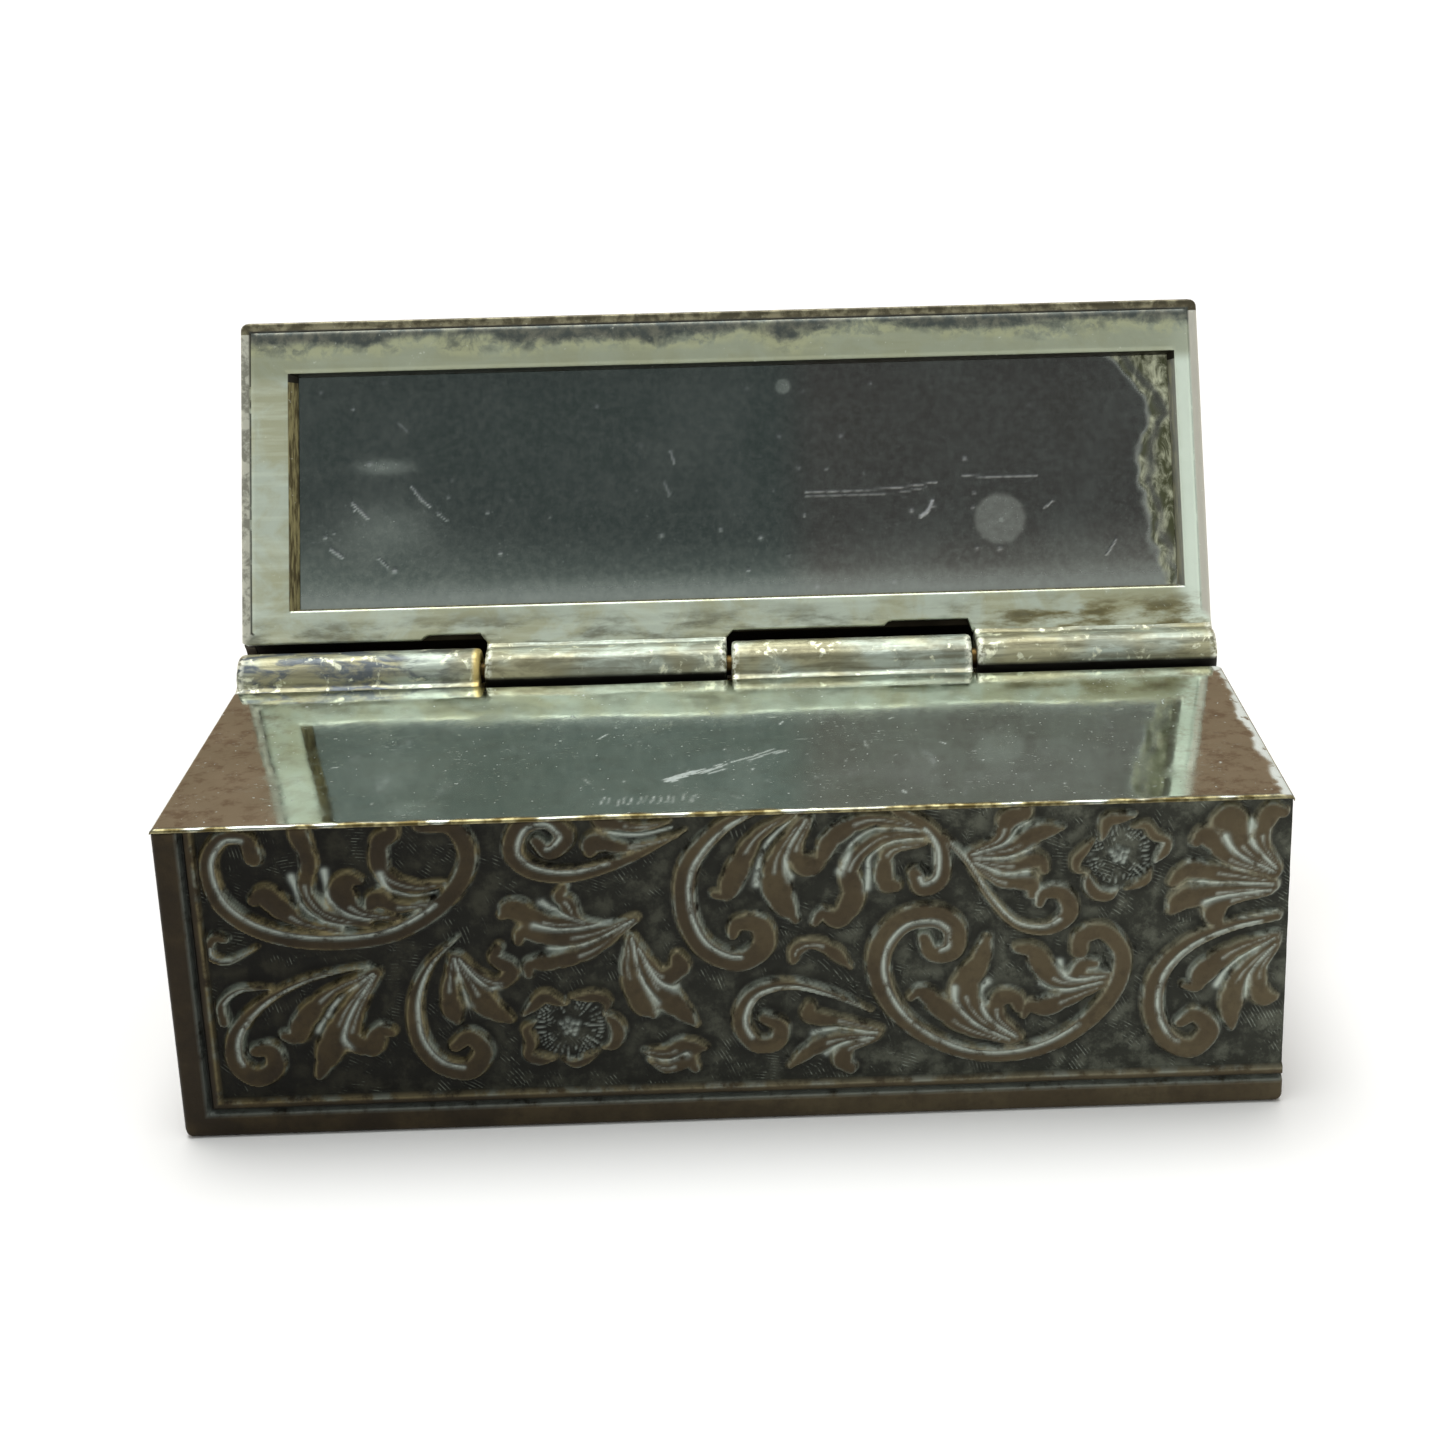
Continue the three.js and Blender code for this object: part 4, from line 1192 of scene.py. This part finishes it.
def at_knuckle(x, index, blend=0.25):
    """1 beside a knuckle and 0 elsewhere along x, in mm."""
    start = knuckle_start(index) - KNUCKLE_GAP / 2
    end = start + KNUCKLE_LENGTH + KNUCKLE_GAP
    half = blend / 2
    return smooth(x, start - half, start + half) * fade(x, end - half, end + half)


def line_mask(x, y, points, half_width):
    """1 on a line through (x, y) points, in mm, falling to 0 past its half-width."""
    depth, _ = depth_inside(spline([(*p, half_width) for p in points], 0.1), x, y)
    return smooth(depth, -half_width, half_width * 0.5)


def plate_scratches(x, y, rng):
    """A smear of short strokes, a row of hatch marks and scattered nicks."""
    marks = np.zeros(x.shape)
    for _ in range(26):
        t = rng.uniform(0, 1) ** 1.5
        cx, cy = -3.2 + 6.4 * t + rng.normal(0, 0.12), 4.1 + 4.2 * t + rng.normal(0, 0.22)
        reach = rng.uniform(0.3, 1.1)
        end = (cx + reach, cy + 0.65 * reach)
        marks = np.maximum(marks, (0.85 - 0.4 * t) * line_mask(x, y, [(cx, cy), end], 0.06))
    for k in range(14):
        left = -6.2 + 0.36 * k + rng.normal(0, 0.08)
        low = 1.5 + rng.normal(0, 0.15)
        share = rng.uniform(0.2, 0.6)
        marks = np.maximum(marks, share * line_mask(x, y, [(left, low), (left + 0.1, low + 0.8)], 0.05))
    for _ in range(60):
        cx, cy = rng.normal(3, 13), rng.uniform(1.5, 17.5)
        turn, reach = rng.uniform(0, math.pi), 0.05 + 0.6 * rng.uniform(0, 1) ** 3
        end = (cx + reach * math.cos(turn), cy + 1.6 * reach * math.sin(turn))
        marks = np.maximum(marks, rng.uniform(0.15, 0.7) * line_mask(x, y, [(cx, cy), end], 0.05))
    return marks


def top_plate(material):
    """The polished plate: gently dented, rolled down at its ends, notched at the lid's knuckles."""
    rng = np.random.default_rng(11)
    width = CASE_LENGTH / MM
    depth = (PLATE_HIGH.y - PLATE_LOW.y) / MM
    xs = np.linspace(0, width, int(width / PLATE_PITCH) + 1)
    ys = np.linspace(0, depth, int(depth / PLATE_PITCH) + 1)
    x, y = np.meshgrid(xs, ys)
    box_x = x + LEFT / MM
    notch = PLATE_NOTCH * (at_knuckle(box_x, 1) * (1 - 0.8 * smooth(box_x, -7, -2.0)) + at_knuckle(box_x, 3))
    place_y = y * (1 - notch * smooth(y, depth - 3, depth) / depth)
    dent = 0.022 * spot(box_x, y, -2.5, depth, 3.2, 3.5)
    wave = 0.010 * blurred_noise(rng, x.shape, 45) + 0.0016 * blurred_noise(rng, x.shape, 11)
    ragged = 0.05 * np.abs(blurred_noise(rng, x.shape, 6)) * fade(y, 0, 0.3)
    fall = edge_fall(x, 0.12) + edge_fall(width - x, 0.2) + edge_fall(y, 0.10) + edge_fall(depth - y, 0.10)
    fall += 0.06 * fade(width - x, 0, 0.9)
    z = np.minimum(wave - 0.012 - dent, 0) - fall - ragged
    place_y = place_y + ragged
    points = np.stack([box_x, place_y + PLATE_LOW.y / MM, z + PLATE_HIGH.z / MM], -1) * MM
    piece = slab("polished_plate", points, (0, 0, 1), PLATE_FLANGE)
    add_attribute(piece, "scratch", plate_scratches(box_x, y, rng))
    # The brass front edge; the lighter dashes that the material puts on it are painted glints.
    add_attribute(piece, "brass", fade(y + 0.25 * blurred_noise(rng, x.shape, 9), 0.10, 0.30))
    # A pale strip along the plate's right end, with a ragged inner edge: painted glare.
    ragged_end = 0.42 * blurred_noise(rng, x.shape, 21) + 0.13 * blurred_noise(rng, x.shape, 4)
    add_attribute(piece, "worn", fade(width - x + ragged_end, 0.45, 0.75))
    dress(piece, "case", "top_plate", material)


def plate_tongue(material):
    """The thicker middle of the plate, which drops between the panels."""
    inset = PANEL_SHEET + SEAT_GAP * MM
    low = Vector((LEFT + inset, FRONT_LOW.y + inset, PLATE_LOW.z))
    high = Vector((RIGHT, PLATE_HIGH.y, PLATE_HIGH.z - PLATE_FLANGE))
    vertices = [(x, y, z) for z in (low.z, high.z) for x, y in
                ((low.x, low.y), (high.x, low.y), (high.x, high.y), (low.x, high.y))]
    faces = [(3, 2, 1, 0), (4, 5, 6, 7), (0, 1, 5, 4), (1, 2, 6, 5), (2, 3, 7, 6), (3, 0, 4, 7)]
    piece = new_object("plate_tongue", vertices, faces, False)
    soften_edges(piece, 0.06)
    dress(piece, "case", "top_plate", material)


# ---------------------------------------------------------------- lid: frame, mirror and cover

FRAME_LIFT = 0.12              # closed gap between the frame's face and the plate
FRAME_SHEET = 0.6
FRAME_BORDERS = (3.3, 3.25, 1.8, 1.9)        # left, top, right, hinge side
WALL_SLOPES = (0.55, 0.16, 0.36, 0.14)       # how far each inner wall leans in
RIM_STRIP = 0.55               # the cover's rim, showing round the frame
KNUCKLE_CLEARANCES = (-0.15, -0.58, -0.08, -0.58)   # how far the hinge edge draws back at each knuckle
NOTCH_DEPTH = 0.28                                  # and a further notch over part of two of them
NOTCHES = ((-18.0, 0), (9.2, 2))                    # as (left end in mm, knuckle)
REACH = LID_REACH / MM
GROOVE = GROOVE_RADIUS / MM


def lid_points(x, v, w):
    """Closed-lid places, v mm in front of the axis and w mm above the joint, turned open."""
    return opened(np.stack([x, -v, w], -1).reshape(-1, 3) * MM)


RING_POINTS = 230              # along each side of the frame


def frame_ring(insets):
    """Points round the frame, inset from its (left, top, right, hinge) edges."""
    left, right = LEFT / MM + insets[0], RIGHT / MM - insets[2]
    top, low = REACH - insets[1], GROOVE + insets[3]
    t = np.linspace(0, 1, RING_POINTS, endpoint=False)
    flat = 0 * t
    xs = np.concatenate([left + (right - left) * t, right + flat, right + (left - right) * t, left + flat])
    vs = np.concatenate([top + flat, top + (low - top) * t, low + flat, low + (top - low) * t])
    hinge_side = np.repeat([0.0, 0.0, 1.0, 0.0], RING_POINTS)
    notch = sum(c * at_knuckle(xs, k, 0.1) for k, c in enumerate(KNUCKLE_CLEARANCES))
    for notch_left, k in NOTCHES:
        notch += NOTCH_DEPTH * smooth(xs, notch_left, notch_left + 0.3) * at_knuckle(xs, k, 0.1)
    vs = vs + hinge_side * notch * max(0.0, 1 - insets[3] / 1.6)
    return xs, vs, hinge_side


def rounded_corner(xs, vs, radius, inset):
    """Pulls points into the round of the lid's two far corners."""
    for side in (-1, 1):
        cx, cv = side * (RIGHT / MM - radius), REACH - radius
        dx, dv = xs - cx, vs - cv
        reach = np.hypot(dx, dv)
        outside = (dx * side > 0) & (dv > 0) & (reach > max(radius - inset, 0.01))
        scale = np.where(outside, max(radius - inset, 0.01) / np.maximum(reach, 1e-6), 1)
        xs, vs = cx + dx * scale, cv + dv * scale
    return xs, vs


RIM, SEAM, FACE, WALL = range(4)

# The frame's section in mm: its rim as (inset from the outer edge, drop below the face, kind), then
# the face as shares of the way across, then the inner walls as (share of their slope, drop, kind).
RIM_ROWS = ((0, FRAME_SHEET, RIM), (0, 0.12, RIM), (0.04, 0.035, RIM), (0.12, 0, RIM), (0.46, 0, RIM),
            (RIM_STRIP, 0.13, SEAM), (0.64, 0.0, FACE))
FACE_SHARES = (0.1, 0.3, 0.5, 0.7, 0.9)
WALL_ROWS = ((0, 0, FACE), (0.08, 0.05, WALL), (0.45, 0.22, WALL), (0.9, 0.50, WALL), (1, 0.58, WALL),
             (1, FRAME_SHEET, WALL))
FACE_START = 0.66
FACE_MARGIN = 0.72
NO_CORNER = 9                  # an inset past which the far corners are left square


def frame_rows():
    """Every ring of the frame as (insets, drop, corner inset, kind), from its outer back edge in."""
    sides = list(zip(FRAME_BORDERS, WALL_SLOPES))
    rows = [([inset] * 4, drop, inset, kind) for inset, drop, kind in RIM_ROWS]
    for share in FACE_SHARES:
        rows.append(([FACE_START + share * (b - s - FACE_MARGIN) for b, s in sides], 0, NO_CORNER, FACE))
    for share, drop, kind in WALL_ROWS:
        rows.append(([b - s * (1 - share) for b, s in sides], drop, NO_CORNER, kind))
    return rows


def mirror_frame(material):
    """The frame with its rolled outer rim, a seam, and inner walls that lean in to the glass."""
    points, marks = [], {"from_top": [], "strip": [], "seam": [], "wall": [], "hinge_side": []}
    for insets, drop, corner_inset, kind in frame_rows():
        xs, vs, hinge_side = frame_ring(insets)
        xs, vs = rounded_corner(xs, vs, 0.45, corner_inset)
        if kind == SEAM:
            drop = drop * (1 - hinge_side)
        swell = 0.010 * np.sin(0.9 * xs + 0.6 * vs) + 0.006 * np.sin(2.3 * xs - 1.1 * vs)
        face = np.where(drop < FRAME_SHEET, np.maximum(drop + 0.014 + swell, 0), drop)
        points.append(np.stack([xs, vs, FRAME_LIFT + face], -1))
        marks["from_top"].append(REACH - vs)
        marks["strip"].append((kind == RIM) * (1 - hinge_side))
        marks["seam"].append((kind == SEAM) * (1 - hinge_side))
        marks["wall"].append((kind == WALL) + 0 * xs)
        marks["hinge_side"].append(fade(vs, GROOVE + 0.4, GROOVE + 1.8))
    points = np.array(points)
    vertices = lid_points(points[..., 0], points[..., 1], points[..., 2])
    piece = new_object("mirror_surround", vertices, ring_faces(*points.shape[:2]))
    tidy_normals(piece)
    for name, values in marks.items():
        add_attribute(piece, name, np.array(values))
    dress(piece, "lid", "mirror_frame", material)


# The edge of the foxing at the glass's right end: how far across it lies at heights up the glass, mm.
FOXING_UP = (4.0, 5.0, 7.5, 10.5, 12.5, 14.3, 15.5, 17.9)
FOXING_ACROSS = (26.2, 25.9, 25.2, 24.7, 24.9, 25.6, 25.3, 23.2)

# Hazy discs as (across, up, inner radius, outer radius, strength), and clouds as (across, up, two
# reaches, strength), in mm.
HAZE_DISCS = ((16.3, 8.3, 1.3, 1.7, 0.42), (16.4, 8.2, 0.05, 0.3, 0.9), (3.6, 16.6, 0.35, 0.6, 0.5))
HAZE_CLOUDS = ((-20.2, 12.4, 1.7, 0.5, 0.55), (-20.0, 8.6, 2.6, 1.8, 0.30))

# Scratches on the glass, each as (points across and up it in mm, half-width, strength).
MIRROR_SCRATCHES = [
    ([(4.8, 10.25), (9.5, 10.3), (12.6, 10.6)], 0.045, 0.30),
    ([(4.8, 9.95), (9.5, 10.0), (12.0, 10.3)], 0.045, 0.20),
    ([(14.2, 10.95), (16.5, 10.8), (18.6, 10.85)], 0.050, 0.28),
    ([(11.6, 8.6), (12.0, 8.9), (12.3, 9.5)], 0.080, 0.50),
    ([(-18.6, 11.2), (-17.9, 10.3), (-17.5, 10.0)], 0.060, 0.35),
    ([(-17.1, 9.6), (-16.5, 9.1)], 0.050, 0.25),
    ([(-22.1, 10.3), (-21.2, 9.4)], 0.080, 0.30),
    ([(-23.4, 7.6), (-22.7, 7.1)], 0.070, 0.30),
    ([(-20.6, 7.0), (-20.0, 6.4)], 0.050, 0.25),
    ([(-19.3, 15.0), (-18.8, 14.5)], 0.060, 0.25),
    ([(-3.2, 12.9), (-3.0, 12.2)], 0.060, 0.35),
    ([(-3.6, 11.0), (-3.3, 10.3)], 0.060, 0.25),
    ([(19.0, 8.9), (19.5, 9.3)], 0.050, 0.30),
    ([(22.6, 6.0), (23.2, 6.9)], 0.050, 0.25),
]


def mirror_marks(x, v, rng):
    """Scratches, hazy patches with a painted pale reflection along the low edge, and foxing on the glass, as
    masks over its face.
    """
    scratch = np.zeros(x.shape)
    for line, width, share in MIRROR_SCRATCHES:
        scratch = np.maximum(scratch, share * line_mask(x, v, line, width))
    for _ in range(46):
        cx, cv = rng.uniform(-24, 22), rng.uniform(4.5, 17.5)
        speck = np.exp(-((x - cx) ** 2 + (v - cv) ** 2) / rng.uniform(0.004, 0.02))
        scratch = np.maximum(scratch, rng.uniform(0.1, 0.45) * speck)
    # A pale band along the glass's low edge is a painted reflection; the discs and clouds below add hazy
    # patches.
    haze = 0.85 * fade(v, 4.0, 6.0)
    for cx, cv, inner, outer, share in HAZE_DISCS:
        haze = np.maximum(haze, share * fade(np.hypot(x - cx, v - cv), inner, outer))
    for cx, cv, reach_x, reach_v, share in HAZE_CLOUDS:
        haze = np.maximum(haze, share * spot(x, v, cx, cv, reach_x, reach_v))
    curve = np.interp(v, FOXING_UP, FOXING_ACROSS) + 0.25 * blurred_noise(rng, x.shape, 6)
    fox = smooth(x - curve, -0.1, 0.25) * (1 - 0.7 * bell(x - curve, 0.7, 0.3))
    edge = bell(x, curve, 0.20)
    return scratch, np.clip(np.maximum(haze, 0.7 * edge), 0, 1), fox


GLASS_PITCH = 0.12
GLASS_INSET = 0.65             # from the lid's outer faces to the glass
GLASS_NEAR = 3.45              # from the hinge axis to the glass
GLASS_SHEET = 1.5
UNDER_FRAME = FRAME_LIFT + FRAME_SHEET + SEAT_GAP


def mirror_glass(material):
    """The glass under the frame, with its marks."""
    rng = np.random.default_rng(17)
    near, far = GLASS_NEAR, REACH - GLASS_INSET
    xs = np.arange(LEFT / MM + GLASS_INSET, RIGHT / MM - GLASS_INSET + 0.01, GLASS_PITCH)
    vs = np.linspace(near, far, int((far - near) / GLASS_PITCH))
    x, v = np.meshgrid(xs, vs)
    points = lid_points(x, v, UNDER_FRAME + 0 * x).reshape(*x.shape, 3)
    outward = LID_TURN.to_3x3() @ Vector((0, 0, -1))
    piece = slab("old_mirror", points, outward, GLASS_SHEET * MM)
    for name, mask in zip(("scratch", "haze", "fox"), mirror_marks(x, v, rng)):
        add_attribute(piece, name, mask)
    dress(piece, "lid", "mirror_glass", material)


LID_HEIGHT = 3.8
COVER_SHEET = 0.48
COVER_BEND = 0.5
COVER_STEP = 0.125
COVER_BORDER = 2.4
REAR_BORDER = 1.8              # plain strip down the lid's rear wall
CAP_SHEET = 0.6                # the lid's end walls
CAP_GAP = 0.01                 # from an end wall to the sheet that it closes


def corner_arc(cy, cz, start, stop):
    """Places and normals round one bend of the lid's section, between two directions in degrees."""
    return [(cy + COVER_BEND * math.cos(a), cz + COVER_BEND * math.sin(a), math.cos(a), math.sin(a))
            for a in np.radians(np.arange(start, stop, -15))]


def cover_profile(offset):
    """The lid's outer section as (y, z, normal y, normal z), moved in by offset, from its front rim."""
    over = REAR_OVERHANG / MM
    rear_low = math.sqrt(GROOVE**2 - over**2)
    front_bend, rear_bend, high_bend = -REACH + COVER_BEND, over - COVER_BEND, LID_HEIGHT - COVER_BEND
    rows = [(-REACH, z, -1, 0) for z in np.arange(UNDER_FRAME, high_bend, COVER_STEP)]
    rows += corner_arc(front_bend, high_bend, 180, 90)
    rows += [(y, LID_HEIGHT, 0, 1) for y in np.arange(front_bend, rear_bend, COVER_STEP)]
    rows += corner_arc(rear_bend, high_bend, 90, 0)
    rows += [(over, z, 1, 0) for z in np.linspace(high_bend, rear_low, 12)]
    profile = np.array(rows)
    profile[:, :2] -= offset * profile[:, 2:]
    return profile


def lid_cover(material, plain):
    """The outer sheet, wrapped over front, top and rear, with a plain cap at each end."""
    profile = cover_profile(0)
    steps = np.hypot(*np.diff(profile[:, :2], axis=0).T)
    run = np.concatenate([[0], np.cumsum(steps)])
    relief = Relief(CASE_LENGTH / MM, run[-1], COVER_STEP)
    front_wall = LID_HEIGHT - UNDER_FRAME
    draw_ornament(relief, lambda x, z: (2.3 + x * 0.92, front_wall + 1.7 + (z - 2.0) * 1.28), 1.05)
    middle = (relief.z > front_wall) & (relief.z < run[-1] - REAR_BORDER)
    relief.inside = np.where(middle, relief.inside, 1.0)
    relief.cut = relief.cut * middle
    relief.sag = relief.sag * middle
    relief.border(left=COVER_BORDER, right=COVER_BORDER)
    to_edge = np.minimum(np.abs(relief.z - front_wall), np.abs(run[-1] - 1.6 - relief.z))
    relief.band = np.where(middle, np.minimum(relief.band, to_edge / COVER_BORDER), 0.3)
    relief.finish(8)
    py, pz, ny, nz = (np.interp(relief.z, run, profile[:, k]) for k in range(4))
    x = relief.x + LEFT / MM
    fall = edge_fall(relief.x, 0.25) + edge_fall(relief.width - relief.x, 0.25)
    depth = np.minimum(relief.depth * 0.85, -fall)
    outer = np.stack([x, py + ny * depth, pz + nz * depth], -1)
    rows, columns = x.shape
    inner_line = cover_profile(COVER_SHEET)
    iy, iz = (np.interp(relief.zs, run, inner_line[:, k]) for k in range(2))
    inner = np.array([[(edge, a, b) for edge in (LEFT / MM, RIGHT / MM)] for a, b in zip(iy, iz)])
    vertices = np.vstack([outer.reshape(-1, 3), inner.reshape(-1, 3)])
    first = rows * columns
    faces = grid_faces(rows, columns).tolist()
    for j in range(rows - 1):
        a, b = first + 2 * j, first + 2 * j + 2
        faces.append((a + 1, a, b, b + 1))
        faces.append((j * columns, (j + 1) * columns, b, a))
        faces.append(((j + 2) * columns - 1, (j + 1) * columns - 1, a + 1, b + 1))
    last = first + 2 * rows
    faces.append([*range(columns)][::-1] + [first, first + 1])
    faces.append([*range((rows - 1) * columns, rows * columns)] + [last - 1, last - 2])
    piece = new_object("chased_lid", opened(vertices * MM), faces)
    tidy_normals(piece)
    add_masks(piece, relief)
    dress(piece, "lid", "lid_cover", material)
    outline = [(y, z) for y, z, _, _ in inner_line[::4]] + [tuple(inner_line[-1, :2])]
    start = math.acos(REAR_OVERHANG / MM / GROOVE)
    end = math.pi - math.asin(UNDER_FRAME / GROOVE)
    outline += [(GROOVE * math.cos(a), GROOVE * math.sin(a)) for a in np.linspace(start, end, 14)]
    for side, name in ((LEFT / MM, "lid_end_left"), (RIGHT / MM - CAP_SHEET, "lid_end_right")):
        end_cap(name, outline, side + CAP_GAP, side + CAP_SHEET - CAP_GAP, plain)


def end_cap(name, outline, x0, x1, material):
    """A plain end wall of the lid, from its outline as (y, z) round the section."""
    count = len(outline)
    vertices = np.array([(x, y, z) for x in (x0, x1) for y, z in outline])
    faces = [tuple(range(count)), tuple(range(2 * count - 1, count - 1, -1))]
    faces += [(k, (k + 1) % count, count + (k + 1) % count, count + k) for k in range(count)]
    piece = new_object(name, opened(vertices * MM), faces, False)
    tidy_normals(piece)
    dress(piece, "lid", "lid_cover", material)


def tidy_normals(piece):
    """Turns every face of a closed piece outward."""
    work = bmesh.new()
    work.from_mesh(piece.data)
    bmesh.ops.recalc_face_normals(work, faces=work.faces)
    work.to_mesh(piece.data)
    work.free()


# ---------------------------------------------------------------- the whole box


def build():
    """Makes every piece, and gives the nodes that stay their materials."""
    chased = chased_material()
    plain = plain_brown_material()
    plate_metal = plate_material()
    hinge_metal = hinge_material()
    gilt = worn_metal("gilt_inside", rgb(0.70, 0.60, 0.42), rgb(0.58, 0.48, 0.32), 0.3, 0.25)
    # Dull brass for the pin, darkened so that the gaps between the knuckles read dark: partly painted shade.
    brass = worn_metal("pin_brass", rgb(0.42, 0.34, 0.19), rgb(0.24, 0.19, 0.11), 0.2, 0.35)
    steel = worn_metal("spring_steel", rgb(0.45, 0.46, 0.48), rgb(0.32, 0.33, 0.35), 0.2, 0.25)
    # The hinge strips are made dark brown so that the gaps behind the knuckles read dark: painted shade.
    strip_metal = worn_metal("strip_metal", rgb(0.19, 0.17, 0.125), rgb(0.11, 0.095, 0.07), 0.3, 0.45)
    front_panel(chased)
    back_panel(chased)
    left_end(chased)
    tray_end(chased)
    top_plate(plate_metal)
    plate_tongue(plate_metal)
    knuckle("knuckle_1", 0, "case", "case_knuckle_left", hinge_metal)
    knuckle("knuckle_2", 1, "lid", "lid_knuckle_left", hinge_metal)
    knuckle("knuckle_3", 2, "case", "case_knuckle_right", hinge_metal)
    knuckle("knuckle_4", 3, "lid", "lid_knuckle_right", hinge_metal)
    mirror_frame(frame_material())
    mirror_glass(mirror_material())
    lid_cover(chased, plain)
    keep_node("bottom_panel", 0.10, plain)
    keep_node("mirror_backing", 0.04, card_material())
    keep_node("hinge_pin", 0.04, brass)
    keep_node("tray_spring", 0.02, steel)
    for node in ("case_bearer", "lid_bearer"):
        keep_node(node, 0.05, strip_metal)
    for node in ("tray_channel", "tray_inner_end", "tray_runner_front", "tray_runner_rear", "tray_stop"):
        keep_node(node, 0.05, gilt)


bpy.context.scene.view_settings.view_transform = "Standard"
add_camera()
add_world()
add_soft_light()
add_floor()
build()
